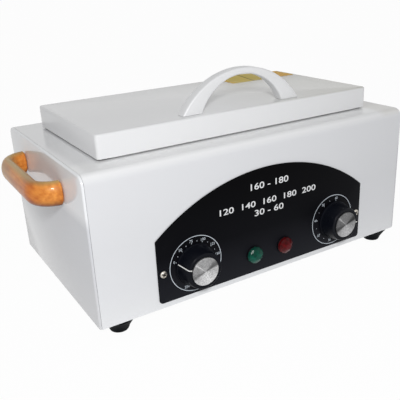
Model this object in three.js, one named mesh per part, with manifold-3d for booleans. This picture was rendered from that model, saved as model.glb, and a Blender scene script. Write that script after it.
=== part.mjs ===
// Dry heat sterilizer: an enamelled steel case with a hinged lid over a heated stainless chamber.
// Millimetres. +Z is up, +X is the right-hand side seen from the front, and the front faces -Y.
// The origin is under the middle of the whole object, on the surface that its feet stand on.
import * as THREE from "three";
import { mergeVertices } from "three/addons/utils/BufferGeometryUtils.js";
import Module from "manifold-3d";

const wasm = await Module();
wasm.setup();

// Case: one bent sheet for front, top and rear, and a pan at each end
const caseWidth = 364;
const caseDepth = 215;
const caseHeight = 140;
const caseSheet = 1;
const bendRadius = 9;
const endPanelRim = 2.1;
const endPanelEdge = 1.3;
const endPanelFlange = 12;
const seatGap = 0.3;
const overrun = 2;

// Feet
const footHeight = 14;
const footTopRadius = 14.5;
const footWaistRadius = 9.8;
const footFlatRadius = 8.7;
const footWaistHeight = 3.5;
const footInsetLeft = 23.7;
const footInsetRight = 18.3;
const footInsetY = 15.5;
const footScrewRadius = 2;
const footScrewHeadRadius = 4;
const footScrewHead = 2.6;
const footScrewRecess = 6;
const footScrewTail = 4;

// Lid
const lidMarginX = 26.5;
const lidMarginY = 29.4;
const lidHeight = 21.5;
const lidSheet = 1.2;
const lidCorner = 3.4;
const lidEdge = 1.8;
const lidGap = 1.7;
const linerSheet = 0.8;
const linerLip = 7;
const gasketHeight = 2;
const gasketWidth = 8;
const lidHeadRoom = 4;

// Lid handle: an arch of two circular arcs
const lidHandleSpan = 134.4;
const lidHandleRise = 36.8;
const lidHandleFoot = 21;
const lidHandleInnerRise = 30.6;
const lidHandleDepth = 11.5;
const lidHandleEdge = 1.6;
const lidHandleSetback = 7.7;
const lidHandleScrewRadius = 2;
const lidHandleScrewHeadRadius = 4;
const lidHandleScrewHead = 2;
const lidHandleScrewDepth = 7.5;

// Fascia, with its arched top
const fasciaWidth = 247.2;
const fasciaLift = 5.6;
const fasciaSideHeight = 62;
const fasciaHeight = 106.7;
const fasciaSheet = 1;
const fasciaCorner = 3.5;
const fasciaScrewX = 118;
const fasciaScrewZ = 35;
const fasciaScrewRadius = 1.6;
const fasciaScrewHeadRadius = 3.5;
const fasciaScrewHead = 1.7;
const fasciaScrewLength = 9;

// Controls
const knobX = 85.4;
const knobZ = 35.7;
const knobHeight = 17.6;
const knobClearance = 0.8;
const skirtRadius = 20.6;
const skirtRim = 2.4;
const coneTopRadius = 17.4;
const coneTopHeight = 17;
const knobTopRadius = 16.9;
const knobCapRadius = 13.6;
const knobCapSeat = 1.4;
const knobCapProud = 1.3;
const shaftRadius = 3;
const knobBoreDepth = 12;
const shaftReach = 10;
const bushRadius = 5;
const bushProud = 0.4;
const thermostatWidth = 36;
const thermostatDepth = 24;
const thermostatHeight = 34;
const timerRadius = 22;
const timerDepth = 26;

// Pilot lamps
const lampX = 18.6;
const lampZ = 25.4;
const lampBezelRadius = 8.9;
const lampBezel = 1.4;
const lampBarrelRadius = 6.2;
const lampBarrelLength = 22;
const lampLensRadius = 7.7;
const lampLensRise = 6.2;
const lampLensSpigotRadius = 4;
const lampLensSpigot = 5;

// Side handles
const handleLength = 126;
const handleReach = 28;
const handleThickness = 14.4;
const handleHeight = 22.7;
const handleCorner = 19;
const handleZ = 112.6;
const handleY = 1.4;
const handleScrewRadius = 2.2;
const handleScrewHeadRadius = 4.4;
const handleScrewHead = 2.4;
const handleScrewDepth = 13;

// Chamber and what heats it
const flangeEndWidth = 17.5;
const flangeSideWidth = 16.1;
const tankHeight = 58;
const tankSheet = 0.8;
const tankCorner = 14;
const tankClearance = 1;
const flangeInset = 1.6;
const heaterEndInset = 38;
const heaterSpreadShare = 0.426;
const heaterBendShare = 0.8;
const heaterRadius = 3.3;
const heaterSpace = 13;
const clampWidth = 14;
const clampSheet = 2;
const clampMargin = 6;
const jacketWall = 15;
const strapWidth = 24;
const strapSheet = 1;
const strapFoot = 10;
const cutoutX = 60;
const cutoutRadius = 8;
const cutoutHeight = 7;
const bulbRadius = 3;
const bulbLength = 46;
const capillaryRadius = 1.2;
const bulbInset = 17;

// Base, wiring points and inlet
const baseLip = 9;
const ventRows = 2;
const ventColumns = 6;
const ventLength = 26;
const ventWidth = 4;
const ventPitchX = 36;
const ventPitchY = 60;
const blockWidth = 52;
const blockDepth = 18;
const blockHeight = 14;
const blockY = 40;
const blockPoles = 4;
const blockSlotWidth = 5;
const blockSlotDepth = 6;
const blockPitch = 12;
const inletX = 118;
const inletZ = 31;
const inletFlangeWidth = 50;
const inletFlangeHeight = 27;
const inletFlange = 3;
const inletCorner = 3;
const inletBodyWidth = 30;
const inletBodyHeight = 22;
const inletBodyDepth = 24;
const inletSocketWidth = 25;
const inletSocketHeight = 17;
const inletSocketDepth = 17;
const pinWidth = 2;
const pinHeight = 4;
const pinReach = 13;
const pinPitch = 7;
const pinBridge = 2;

// Instrument tray
const trayEndClearance = 6.2;
const traySideClearance = 7.2;
const trayHeight = 20;
const traySheet = 0.8;
const trayCorner = 11;
const traySlotLength = 30;
const traySlotWidth = 5;
const traySlotColumns = 5;
const traySlotRows = 3;
const traySlotPitchX = 44;
const traySlotPitchY = 26;
const gripSpan = 50;
const gripHeight = 30;
const gripWire = 1.6;
const gripCorner = 8;
const gripInset = 8;

// Rear hinges
const hingeShare = 0.611;
const hingeWidth = 44;
const hingeKnuckleRadius = 3.2;
const hingePinRadius = 1.5;
const hingeSheet = 1.4;
const hingeCaseLeaf = 16;
const hingeLidLeaf = 14;
const hingeMiddleShare = 0.36;

// Steps of round shapes
const roundSides = 24;
const smallSides = 12;
const cornerSteps = 3;
const bendSteps = 4;
const archSteps = 16;
const panelRollShares = [0, 0.5, 1];
const lidRollShares = [0, 1 / 3, 2 / 3, 1];

// Sizes, levels and planes worked out from the sizes above
const lidWidth = caseWidth - 2 * lidMarginX;
const lidDepth = caseDepth - 2 * lidMarginY;
const hingeX = (lidWidth / 2) * hingeShare;
const lidHandleInnerSpan = lidHandleSpan - 2 * lidHandleFoot;
const tankWidth = lidWidth - 2 * flangeEndWidth;
const tankDepth = lidDepth - 2 * flangeSideWidth;
const heaterSpan = tankWidth - 2 * heaterEndInset;
const heaterSpread = tankDepth * heaterSpreadShare;
const trayWidth = tankWidth - 2 * (tankSheet + trayEndClearance);
const trayDepth = tankDepth - 2 * (tankSheet + traySideClearance);
const capillaryY = bulbInset - tankDepth / 2;
const caseBottom = footHeight;
const caseTop = caseBottom + caseHeight;
const frontReach = seatGap + fasciaSheet + knobClearance + knobHeight + knobCapProud;
const rearReach = seatGap + inletFlange;
const halfDepth = (frontReach + caseDepth + rearReach) / 2;
const frontY = frontReach - halfDepth;
const rearY = frontY + caseDepth;
const middleY = (frontY + rearY) / 2;
const halfCase = caseWidth / 2;
const halfWrap = halfCase - endPanelRim - seatGap;
const innerInset = caseSheet + seatGap;
const flangeBottom = caseTop + seatGap;
const flangeTop = flangeBottom + tankSheet;
const gasketBottom = flangeTop + seatGap;
const lidBottom = caseTop + lidGap;
const lidTop = lidBottom + lidHeight;
const linerBottom = gasketBottom + gasketHeight + seatGap;
const tankBottom = flangeBottom - tankHeight;
const jacketFloor = tankBottom - heaterSpace;
const fasciaFront = frontY - seatGap - fasciaSheet;
const controlBack = frontY + caseSheet + seatGap;
const lidRearY = middleY + lidDepth / 2;
const hingeY = lidRearY + seatGap + hingeKnuckleRadius;
const hingeZ = caseTop + seatGap + hingeKnuckleRadius;

// Finishes
function finish(color, roughness, metalness) {
  return new THREE.MeshStandardMaterial({ color, roughness, metalness });
}
const enamel = finish(0xe6e7e9, 0.25, 0);
const whitePlastic = finish(0xe9e9ec, 0.3, 0);
const blackPanel = finish(0x16161b, 0.45, 0);
const blackPlastic = finish(0x101012, 0.35, 0);
const rubber = finish(0x282b2e, 0.8, 0);
const wood = finish(0xc97a30, 0.3, 0);
const stainless = finish(0xb9bbbe, 0.3, 1);
const aluminium = finish(0xc4c5c8, 0.35, 1);
const steel = finish(0xa8aaad, 0.35, 1);
const galvanised = finish(0x9da2a6, 0.5, 1);
const seal = finish(0x2a2a2c, 0.7, 0);
const fibre = finish(0xd8d2bf, 0.95, 0);
const greenLens = finish(0x0a6e50, 0.2, 0);
const redLens = finish(0x7a1010, 0.2, 0);
const phenolic = finish(0x3a2c24, 0.6, 0);

// Closed solids from geometries, with their faces pointing out
function solid(geometry) {
  const bare = new THREE.BufferGeometry();
  const source = geometry.index ? geometry.toNonIndexed() : geometry;
  bare.setAttribute("position", source.getAttribute("position"));
  const merged = mergeVertices(bare, 1e-4);
  const kept = [];
  const index = merged.index.array;
  for (let i = 0; i < index.length; i += 3) {
    const [a, b, c] = [index[i], index[i + 1], index[i + 2]];
    if (a !== b && b !== c && c !== a) {
      kept.push(a, b, c);
    }
  }
  const vertProperties = merged.attributes.position.array;
  const shape = (triVerts) => new wasm.Manifold(new wasm.Mesh({ numProp: 3, vertProperties, triVerts }));
  const made = shape(new Uint32Array(kept));
  return made.volume() > 0 ? made : shape(new Uint32Array(kept.reverse()));
}

function geometryOf(manifold) {
  const mesh = manifold.getMesh();
  const points = new Float32Array(mesh.numVert * 3);
  for (let i = 0; i < mesh.numVert; i += 1) {
    points.set(mesh.vertProperties.subarray(i * mesh.numProp, i * mesh.numProp + 3), i * 3);
  }
  const geometry = new THREE.BufferGeometry();
  geometry.setAttribute("position", new THREE.BufferAttribute(points, 3));
  geometry.setIndex(new THREE.BufferAttribute(mesh.triVerts, 1));
  geometry.computeVertexNormals();
  return geometry;
}

// A box between two corners
function block(x0, x1, y0, y1, z0, z1) {
  const geometry = new THREE.BoxGeometry(x1 - x0, y1 - y0, z1 - z0);
  geometry.translate((x0 + x1) / 2, (y0 + y1) / 2, (z0 + z1) / 2);
  return solid(geometry);
}

// A round bar from a start point along an axis
function bar(axis, radius, x, y, z, length, sides = smallSides) {
  const geometry = new THREE.CylinderGeometry(radius, radius, length, sides);
  geometry.translate(0, length / 2, 0);
  turn(geometry, axis);
  geometry.translate(x, y, z);
  return solid(geometry);
}

// Turns a shape whose axis is +Y to another axis
function turn(geometry, axis) {
  const turns = {
    up: () => geometry.rotateX(Math.PI / 2),
    down: () => geometry.rotateX(-Math.PI / 2),
    front: () => geometry.rotateX(Math.PI),
    rear: () => geometry,
    right: () => geometry.rotateZ(-Math.PI / 2),
    left: () => geometry.rotateZ(Math.PI / 2),
  };
  return turns[axis]();
}

// A turned piece: its profile holds radius and height pairs, and starts and ends on the axis
function turned(profile, axis, x, y, z, sides = roundSides) {
  const points = profile.map(([radius, height]) => new THREE.Vector2(radius, height));
  const geometry = new THREE.LatheGeometry(points, sides);
  turn(geometry, axis);
  geometry.translate(x, y, z);
  return solid(geometry);
}

// The corners of a rectangle rounded by four radii, listed from the lower left, anticlockwise
function roundedRing(x0, x1, y0, y1, radii, steps = cornerSteps) {
  const corners = [
    [x0, y0, 1, 1, Math.PI],
    [x1, y0, -1, 1, 1.5 * Math.PI],
    [x1, y1, -1, -1, 0],
    [x0, y1, 1, -1, 0.5 * Math.PI],
  ];
  const ring = [];
  corners.forEach(([x, y, sx, sy, start], i) => {
    for (let k = 0; k <= steps; k += 1) {
      const angle = start + (k / steps) * 0.5 * Math.PI;
      const radius = radii[i];
      ring.push([x + radius * (sx + Math.cos(angle)), y + radius * (sy + Math.sin(angle))]);
    }
  });
  return ring;
}

function evenRing(halfX, halfY, radius, centreY = 0) {
  const radii = [radius, radius, radius, radius];
  return roundedRing(-halfX, halfX, centreY - halfY, centreY + halfY, radii);
}

// A solid through rings of points in space, which all have as many points
function loft(rings) {
  const count = rings[0].length;
  const points = rings.flat().flat();
  const faces = [];
  for (let r = 0; r + 1 < rings.length; r += 1) {
    for (let i = 0; i < count; i += 1) {
      const [a, b] = [r * count + i, r * count + ((i + 1) % count)];
      faces.push(a, b, b + count, a, b + count, a + count);
    }
  }
  const last = (rings.length - 1) * count;
  for (let i = 1; i + 1 < count; i += 1) {
    faces.push(0, i + 1, i, last, last + i, last + i + 1);
  }
  const geometry = new THREE.BufferGeometry();
  geometry.setAttribute("position", new THREE.BufferAttribute(new Float32Array(points), 3));
  geometry.setIndex(faces);
  return solid(geometry);
}

// A plate on its back: the ring lies flat, between two heights
function plate(ring, z0, z1) {
  return loft([z0, z1].map((z) => ring.map(([x, y]) => [x, y, z])));
}

// A plate that faces the front: the ring holds x and z, between two depths
function frontPlate(ring, y0, y1) {
  return loft([y0, y1].map((y) => ring.map(([x, z]) => [x, y, z])));
}

// A plate at an end: the ring holds y and z, between two widths
function endPlate(ring, x0, x1) {
  return loft([x0, x1].map((x) => ring.map(([y, z]) => [x, y, z])));
}

// A tube along a curve, with flat ends
function tube(points, radius, steps, sides = 8) {
  const section = new THREE.Shape();
  for (let i = 0; i < sides; i += 1) {
    const angle = (i / sides) * 2 * Math.PI;
    const [x, y] = [radius * Math.cos(angle), radius * Math.sin(angle)];
    if (i === 0) {
      section.moveTo(x, y);
    } else {
      section.lineTo(x, y);
    }
  }
  section.closePath();
  const curve = new THREE.CurvePath();
  for (const piece of points) {
    curve.add(piece);
  }
  return solid(new THREE.ExtrudeGeometry(section, { extrudePath: curve, steps, bevelEnabled: false }));
}

// The straight runs and rounded corners of a bent rod, through its corner points
function bentRod(corners, radius) {
  const pieces = [];
  let start = corners[0];
  for (let i = 1; i + 1 < corners.length; i += 1) {
    const into = corners[i].clone().sub(corners[i - 1]).setLength(radius);
    const out = corners[i + 1].clone().sub(corners[i]).setLength(radius);
    const before = corners[i].clone().sub(into);
    const after = corners[i].clone().add(out);
    pieces.push(new THREE.LineCurve3(start, before));
    pieces.push(new THREE.QuadraticBezierCurve3(before, corners[i], after));
    start = after;
  }
  pieces.push(new THREE.LineCurve3(start, corners[corners.length - 1]));
  return pieces;
}

function mesh(parent, name, manifold, material) {
  const made = new THREE.Mesh(geometryOf(manifold), material.clone());
  made.name = name;
  parent.add(made);
}

const sides = [
  ["left", -1],
  ["right", 1],
];
const ends = [
  ["front", -1],
  ["rear", 1],
];

// Outer wrap: front, top and rear in one sheet, with its openings
function outerWrap() {
  const outer = roundedRing(frontY, rearY, caseBottom, caseTop, [0, 0, bendRadius, bendRadius], bendSteps);
  const innerRadius = bendRadius - caseSheet;
  const inner = roundedRing(
    frontY + caseSheet,
    rearY - caseSheet,
    caseBottom - overrun,
    caseTop - caseSheet,
    [0, 0, innerRadius, innerRadius],
    bendSteps,
  );
  let wrap = endPlate(outer, -halfWrap, halfWrap);
  wrap = wrap.subtract(endPlate(inner, -halfWrap - overrun, halfWrap + overrun));
  const mouth = evenRing(tankWidth / 2 + tankClearance, tankDepth / 2 + tankClearance, tankCorner, middleY);
  wrap = wrap.subtract(plate(mouth, caseTop - caseSheet - overrun, caseTop + overrun));
  for (const [x, z, radius] of frontHoles()) {
    wrap = wrap.subtract(frontHole(x, z, radius));
  }
  const halfWidth = inletBodyWidth / 2 + seatGap;
  const low = caseBottom + inletZ - inletBodyHeight / 2 - seatGap;
  const high = caseBottom + inletZ + inletBodyHeight / 2 + seatGap;
  return wrap.subtract(
    block(inletX - halfWidth, inletX + halfWidth, rearY - caseSheet - overrun, rearY + overrun, low, high),
  );
}

// Holes through the fascia and the front sheet behind it
function frontHoles() {
  return sides.flatMap(([, side]) => [
    [side * knobX, knobZ, bushRadius + seatGap],
    [side * lampX, lampZ, lampBarrelRadius + seatGap],
    [side * fasciaScrewX, fasciaScrewZ, fasciaScrewRadius + seatGap],
  ]);
}

function frontHole(x, z, radius) {
  const start = fasciaFront - overrun;
  const length = controlBack + overrun - start;
  return bar("rear", radius, x, start, caseBottom + z, length, smallSides);
}

// End panel: a pan with a rolled rim, whose flange tucks under the wrap
function endPanel(side) {
  const rim = (inset) =>
    roundedRing(
      frontY + inset,
      rearY - inset,
      caseBottom + inset,
      caseTop - inset,
      [endPanelEdge, endPanelEdge, bendRadius, bendRadius],
      bendSteps,
    );
  const face = side * halfCase;
  const rimBack = side * (halfCase - endPanelRim);
  const at = (inset, x) => rim(inset).map(([y, z]) => [x, y, z]);
  const roundSteps = panelRollShares.map((share) => (share * Math.PI) / 2);
  const rolled = roundSteps.map((angle) =>
    at(endPanelEdge * (1 - Math.cos(angle)), side * (halfCase - endPanelEdge * (1 - Math.sin(angle)))),
  );
  const outside = loft([at(0, rimBack), ...rolled]);
  const flange = endPlate(rim(innerInset), rimBack - side * endPanelFlange, face - side * caseSheet);
  const hollow = endPlate(
    rim(innerInset + caseSheet),
    rimBack - side * (endPanelFlange + overrun),
    face - side * caseSheet,
  );
  let panel = outside.add(flange).subtract(hollow);
  for (const [, end] of ends) {
    const y = middleY + handleY + end * handleFootOffset();
    const start = side * (halfCase - caseSheet - overrun);
    const axis = side > 0 ? "right" : "left";
    const length = 2 * overrun + caseSheet;
    const hole = bar(axis, handleScrewRadius + seatGap, start, y, caseBottom + handleZ, length);
    panel = panel.subtract(hole);
  }
  return panel;
}

// Base plate: closes the case below, with a turned-up lip at front and rear and rows of vents
function basePlate() {
  const low = frontY + innerInset;
  const high = rearY - innerInset;
  const lipEnd = halfWrap - endPanelFlange - 2 * seatGap;
  const lipTop = caseBottom + baseLip;
  let base = block(-halfWrap, halfWrap, low, high, caseBottom, caseBottom + caseSheet);
  base = base.add(block(-lipEnd, lipEnd, low, low + caseSheet, caseBottom, lipTop));
  base = base.add(block(-lipEnd, lipEnd, high - caseSheet, high, caseBottom, lipTop));
  for (let column = 0; column < ventColumns; column += 1) {
    for (let row = 0; row < ventRows; row += 1) {
      const x = (column - (ventColumns - 1) / 2) * ventPitchX;
      const y = middleY + (row - (ventRows - 1) / 2) * ventPitchY;
      const [z0, z1] = [caseBottom - overrun, caseBottom + caseSheet + overrun];
      const cut = block(x - ventWidth / 2, x + ventWidth / 2, y - ventLength / 2, y + ventLength / 2, z0, z1);
      base = base.subtract(cut);
    }
  }
  for (const [x, y] of footPlaces()) {
    const length = caseSheet + 2 * overrun;
    base = base.subtract(bar("up", footScrewRadius + seatGap, x, y, caseBottom - overrun, length));
  }
  return base;
}

function footPlaces() {
  return ends.flatMap(([, end]) => {
    const y = middleY + end * (caseDepth / 2 - footInsetY);
    return [
      [footInsetLeft - halfCase, y],
      [halfCase - footInsetRight, y],
    ];
  });
}

// Foot: a tapered rubber bumper with a recess for its screw
function foot(x, y) {
  const top = footHeight - seatGap;
  const recess = footScrewHeadRadius + seatGap;
  const bore = footScrewRadius + seatGap;
  return turned(
    [
      [bore, top],
      [bore, footScrewRecess],
      [recess, footScrewRecess],
      [recess, 0],
      [footFlatRadius, 0],
      [(footFlatRadius + footWaistRadius) / 2 + seatGap, footWaistHeight / 4],
      [footWaistRadius, footWaistHeight],
      [footTopRadius, top - footWaistHeight / 4],
      [footTopRadius - seatGap, top],
      [bore, top],
    ],
    "up",
    x,
    y,
    0,
  );
}

function footScrew(x, y) {
  const headBottom = footScrewRecess - seatGap - footScrewHead;
  const tip = caseBottom + caseSheet + footScrewTail;
  return turned(
    [
      [0, headBottom],
      [footScrewHeadRadius, headBottom],
      [footScrewHeadRadius, headBottom + footScrewHead],
      [footScrewRadius, headBottom + footScrewHead],
      [footScrewRadius, tip],
      [0, tip],
    ],
    "up",
    x,
    y,
    0,
    smallSides,
  );
}

// Fascia: straight sides and a circular arch on top
function fasciaPlate() {
  const half = fasciaWidth / 2;
  const low = caseBottom + fasciaLift;
  const shoulder = low + fasciaSideHeight;
  const rise = fasciaHeight - fasciaSideHeight;
  const radius = (half * half + rise * rise) / (2 * rise);
  const centre = low + fasciaHeight - radius;
  const reach = Math.asin(half / radius);
  const ring = roundedRing(-half, half, low, shoulder, [fasciaCorner, fasciaCorner, 0, 0]);
  const lower = ring.slice(0, 2 * (cornerSteps + 1));
  for (let i = 0; i <= archSteps; i += 1) {
    const angle = reach * (1 - (2 * i) / archSteps);
    lower.push([radius * Math.sin(angle), centre + radius * Math.cos(angle)]);
  }
  let fascia = frontPlate(lower, frontY - seatGap, fasciaFront);
  for (const [x, z, holeRadius] of frontHoles()) {
    fascia = fascia.subtract(frontHole(x, z, holeRadius));
  }
  return fascia;
}

function fasciaScrew(side) {
  const underHead = -seatGap;
  return turned(
    [
      [0, fasciaScrewLength + underHead],
      [fasciaScrewRadius, fasciaScrewLength + underHead],
      [fasciaScrewRadius, underHead],
      [fasciaScrewHeadRadius, underHead],
      [fasciaScrewHeadRadius, underHead - fasciaScrewHead / 2],
      [fasciaScrewHeadRadius * Math.SQRT1_2, underHead - fasciaScrewHead],
      [0, underHead - fasciaScrewHead],
    ],
    "rear",
    side * fasciaScrewX,
    fasciaFront,
    caseBottom + fasciaScrewZ,
    smallSides,
  );
}

// Knob: a skirt, a cone and a short cylinder, bored for its shaft and recessed for its cap
function knob(side) {
  const bore = shaftRadius + seatGap;
  const capFloor = knobHeight - knobCapSeat;
  return turned(
    [
      [0, knobBoreDepth],
      [bore, knobBoreDepth],
      [bore, 0],
      [skirtRadius, 0],
      [skirtRadius, skirtRim],
      [coneTopRadius, coneTopHeight],
      [knobTopRadius, knobHeight],
      [knobCapRadius + seatGap, knobHeight],
      [knobCapRadius + seatGap, capFloor],
      [0, capFloor],
    ],
    "front",
    side * knobX,
    fasciaFront - knobClearance,
    caseBottom + knobZ,
  );
}

function knobCap(side) {
  const low = knobHeight - knobCapSeat + seatGap;
  const high = knobHeight + knobCapProud;
  return turned(
    [
      [0, low],
      [knobCapRadius, low],
      [knobCapRadius, high - knobCapProud / 2],
      [knobCapRadius - knobCapProud / 2, high],
      [0, high],
    ],
    "front",
    side * knobX,
    fasciaFront - knobClearance,
    caseBottom + knobZ,
  );
}

function controlShaft(side) {
  const start = controlBack + shaftReach - seatGap;
  const end = fasciaFront - knobClearance - knobBoreDepth + seatGap;
  return bar("front", shaftRadius, side * knobX, start, caseBottom + knobZ, start - end);
}

// The bush and the shaft bore that both controls have
function controlBush(body, side) {
  const z = caseBottom + knobZ;
  const bushFront = fasciaFront - bushProud;
  const bush = bar("rear", bushRadius, side * knobX, bushFront, z, controlBack + seatGap - bushFront);
  const boreLength = controlBack + shaftReach - bushFront + overrun;
  const bore = bar("rear", shaftRadius + seatGap, side * knobX, bushFront - overrun, z, boreLength);
  return body.add(bush).subtract(bore);
}

function thermostatBody() {
  const [x, z] = [-knobX, caseBottom + knobZ];
  const halfWidth = thermostatWidth / 2;
  const halfHeight = thermostatHeight / 2;
  const box = block(
    x - halfWidth,
    x + halfWidth,
    controlBack,
    controlBack + thermostatDepth,
    z - halfHeight,
    z + halfHeight,
  );
  return controlBush(box, -1);
}

function timerBody() {
  const z = caseBottom + knobZ;
  const drum = bar("rear", timerRadius, knobX, controlBack, z, timerDepth, roundSides);
  return controlBush(drum, 1);
}

// Thermostat bulb under the tank, with the capillary that runs down and forward to the body
function thermostatBulb() {
  const bulbZ = tankBottom - seatGap - bulbRadius;
  const z = caseBottom + knobZ;
  const start = controlBack + thermostatDepth + seatGap;
  const corners = [
    new THREE.Vector3(-knobX, start, z),
    new THREE.Vector3(-knobX, middleY + capillaryY, z),
    new THREE.Vector3(-knobX, middleY + capillaryY, bulbZ),
    new THREE.Vector3(-knobX + bulbLength / 2, middleY + capillaryY, bulbZ),
  ];
  const capillary = tube(bentRod(corners, bulbRadius + seatGap), capillaryRadius, archSteps);
  const bulbStart = -knobX + bulbRadius * 2;
  return capillary.add(bar("right", bulbRadius, bulbStart, middleY + capillaryY, bulbZ, bulbLength));
}

// Pilot lamps
function lampBody(side) {
  const spigot = lampLensSpigotRadius + seatGap;
  const spigotDepth = lampLensSpigot + seatGap;
  return turned(
    [
      [0, spigotDepth],
      [spigot, spigotDepth],
      [spigot, 0],
      [lampBezelRadius - lampBezel / 2, 0],
      [lampBezelRadius, lampBezel / 2],
      [lampBezelRadius, lampBezel],
      [lampBarrelRadius, lampBezel],
      [lampBarrelRadius, lampBezel + lampBarrelLength],
      [0, lampBezel + lampBarrelLength],
    ],
    "rear",
    side * lampX,
    fasciaFront - seatGap - lampBezel,
    caseBottom + lampZ,
  );
}

function lampLens(side) {
  const dome = [];
  const domeSteps = 5;
  for (let i = 0; i <= domeSteps; i += 1) {
    const angle = (i / domeSteps) * 0.5 * Math.PI;
    dome.push([lampLensRadius * Math.cos(angle), seatGap + lampLensRise * Math.sin(angle)]);
  }
  dome[domeSteps][0] = 0;
  return turned(
    [[0, -lampLensSpigot], [lampLensSpigotRadius, -lampLensSpigot], [lampLensSpigotRadius, seatGap], ...dome],
    "front",
    side * lampX,
    fasciaFront - seatGap - lampBezel,
    caseBottom + lampZ,
  );
}

// Side handle: a turned wooden bow with an oval section, screwed on from inside the panel
function handleFootOffset() {
  return (handleLength - handleThickness) / 2;
}

function sideHandle(side) {
  const foot = handleFootOffset();
  const out = handleReach - handleThickness / 2;
  const path = [[0, -foot, 1, 0]];
  for (const [end, first] of [[-1, 0], [1, 1]]) {
    for (let i = 0; i <= cornerSteps; i += 1) {
      const share = first ? 1 - i / cornerSteps : i / cornerSteps;
      const angle = share * 0.5 * Math.PI;
      const x = out - handleCorner + handleCorner * Math.sin(angle);
      const y = end * (foot - handleCorner + handleCorner * Math.cos(angle));
      path.push([x, y, Math.cos(angle) * -end, Math.sin(angle)]);
    }
  }
  path.push([0, foot, -1, 0]);
  const start = side * (halfCase + seatGap);
  const rings = path.map(([x, y, alongX, alongY]) =>
    ovalRing(start + side * x, middleY + handleY + y, side * alongY, -alongX),
  );
  let handle = loft(rings);
  for (const [, end] of ends) {
    const length = overrun + handleScrewDepth + seatGap;
    const axis = side > 0 ? "right" : "left";
    const y = middleY + handleY + end * foot;
    const x = start - side * overrun;
    const hole = bar(axis, handleScrewRadius + seatGap, x, y, caseBottom + handleZ, length);
    handle = handle.subtract(hole);
  }
  return handle;
}

function ovalRing(x, y, acrossX, acrossY) {
  const ring = [];
  for (let i = 0; i < smallSides; i += 1) {
    const angle = (i / smallSides) * 2 * Math.PI;
    const across = (handleThickness / 2) * Math.cos(angle);
    const up = (handleHeight / 2) * Math.sin(angle);
    ring.push([x + across * acrossX, y + across * acrossY, caseBottom + handleZ + up]);
  }
  return ring;
}

function sideHandleScrew(side, end) {
  const headStart = halfCase - caseSheet - seatGap - handleScrewHead;
  const tip = halfCase + handleScrewDepth - headStart;
  return turned(
    [
      [0, 0],
      [handleScrewHeadRadius, 0],
      [handleScrewHeadRadius, handleScrewHead],
      [handleScrewRadius, handleScrewHead],
      [handleScrewRadius, tip],
      [0, tip],
    ],
    side > 0 ? "right" : "left",
    side * headStart,
    middleY + handleY + end * handleFootOffset(),
    caseBottom + handleZ,
    smallSides,
  );
}

// Chamber tank: a drawn stainless pan whose flange lies on the wrap
function chamberTank() {
  const flangeCorner = lidCorner + flangeInset;
  const flangeRing = evenRing(lidWidth / 2 - flangeInset, lidDepth / 2 - flangeInset, flangeCorner, middleY);
  const outside = evenRing(tankWidth / 2, tankDepth / 2, tankCorner, middleY);
  const inside = evenRing(
    tankWidth / 2 - tankSheet,
    tankDepth / 2 - tankSheet,
    tankCorner - tankSheet,
    middleY,
  );
  return plate(flangeRing, flangeBottom, flangeTop)
    .add(plate(outside, tankBottom, flangeTop))
    .subtract(plate(inside, tankBottom + tankSheet, flangeTop + overrun));
}

// Heating element: a tubular U held under the tank by a clamp bar with a boss between its legs
function heatingElement() {
  const z = tankBottom - seatGap - heaterRadius;
  const [halfSpan, halfSpread] = [heaterSpan / 2, heaterSpread / 2];
  const rod = [
    new THREE.Vector3(halfSpan, middleY - halfSpread, z),
    new THREE.Vector3(-halfSpan, middleY - halfSpread, z),
    new THREE.Vector3(-halfSpan, middleY + halfSpread, z),
    new THREE.Vector3(halfSpan, middleY + halfSpread, z),
  ];
  return tube(bentRod(rod, halfSpread * heaterBendShare), heaterRadius, 2 * archSteps);
}

function heaterClamp() {
  const top = tankBottom - 2 * (seatGap + heaterRadius);
  const halfSpread = heaterSpread / 2;
  const halfLength = halfSpread + heaterRadius + clampMargin;
  const bossHalf = halfSpread - heaterRadius - clampMargin;
  const half = clampWidth / 2;
  const strip = block(-half, half, middleY - halfLength, middleY + halfLength, top - clampSheet, top);
  const bossTop = tankBottom - seatGap;
  return strip.add(block(-half, half, middleY - bossHalf, middleY + bossHalf, top - clampSheet, bossTop));
}

function thermalCutout() {
  const top = tankBottom - seatGap;
  return bar("down", cutoutRadius, cutoutX, middleY, top, cutoutHeight, roundSides);
}

// Fibre jacket round the tank and its heater, and the strap that holds it up
function jacketTop() {
  return caseTop - caseSheet - seatGap;
}

function tankInsulation() {
  const fit = tankClearance;
  const inside = evenRing(tankWidth / 2 + fit, tankDepth / 2 + fit, tankCorner, middleY);
  const halfX = tankWidth / 2 + fit + jacketWall;
  const halfY = tankDepth / 2 + fit + jacketWall;
  const outside = evenRing(halfX, halfY, tankCorner, middleY);
  const pocket = bar(
    "down",
    capillaryRadius + tankClearance,
    -knobX,
    middleY + capillaryY,
    jacketFloor + overrun,
    jacketWall + 2 * overrun,
  );
  return plate(outside, jacketFloor - jacketWall, jacketTop())
    .subtract(plate(inside, jacketFloor, jacketTop() + overrun))
    .subtract(pocket);
}

function insulationStrap() {
  const half = strapWidth / 2;
  const halfY = tankDepth / 2 + tankClearance + jacketWall + seatGap;
  const low = jacketFloor - jacketWall - seatGap;
  const foot = halfY + strapSheet + strapFoot;
  const top = jacketTop();
  let strap = block(-half, half, middleY - foot, middleY + foot, top - strapSheet, top);
  strap = strap.add(
    block(-half, half, middleY - halfY - strapSheet, middleY + halfY + strapSheet, low - strapSheet, top),
  );
  return strap.subtract(
    block(-half - overrun, half + overrun, middleY - halfY, middleY + halfY, low, top + overrun),
  );
}

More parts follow.
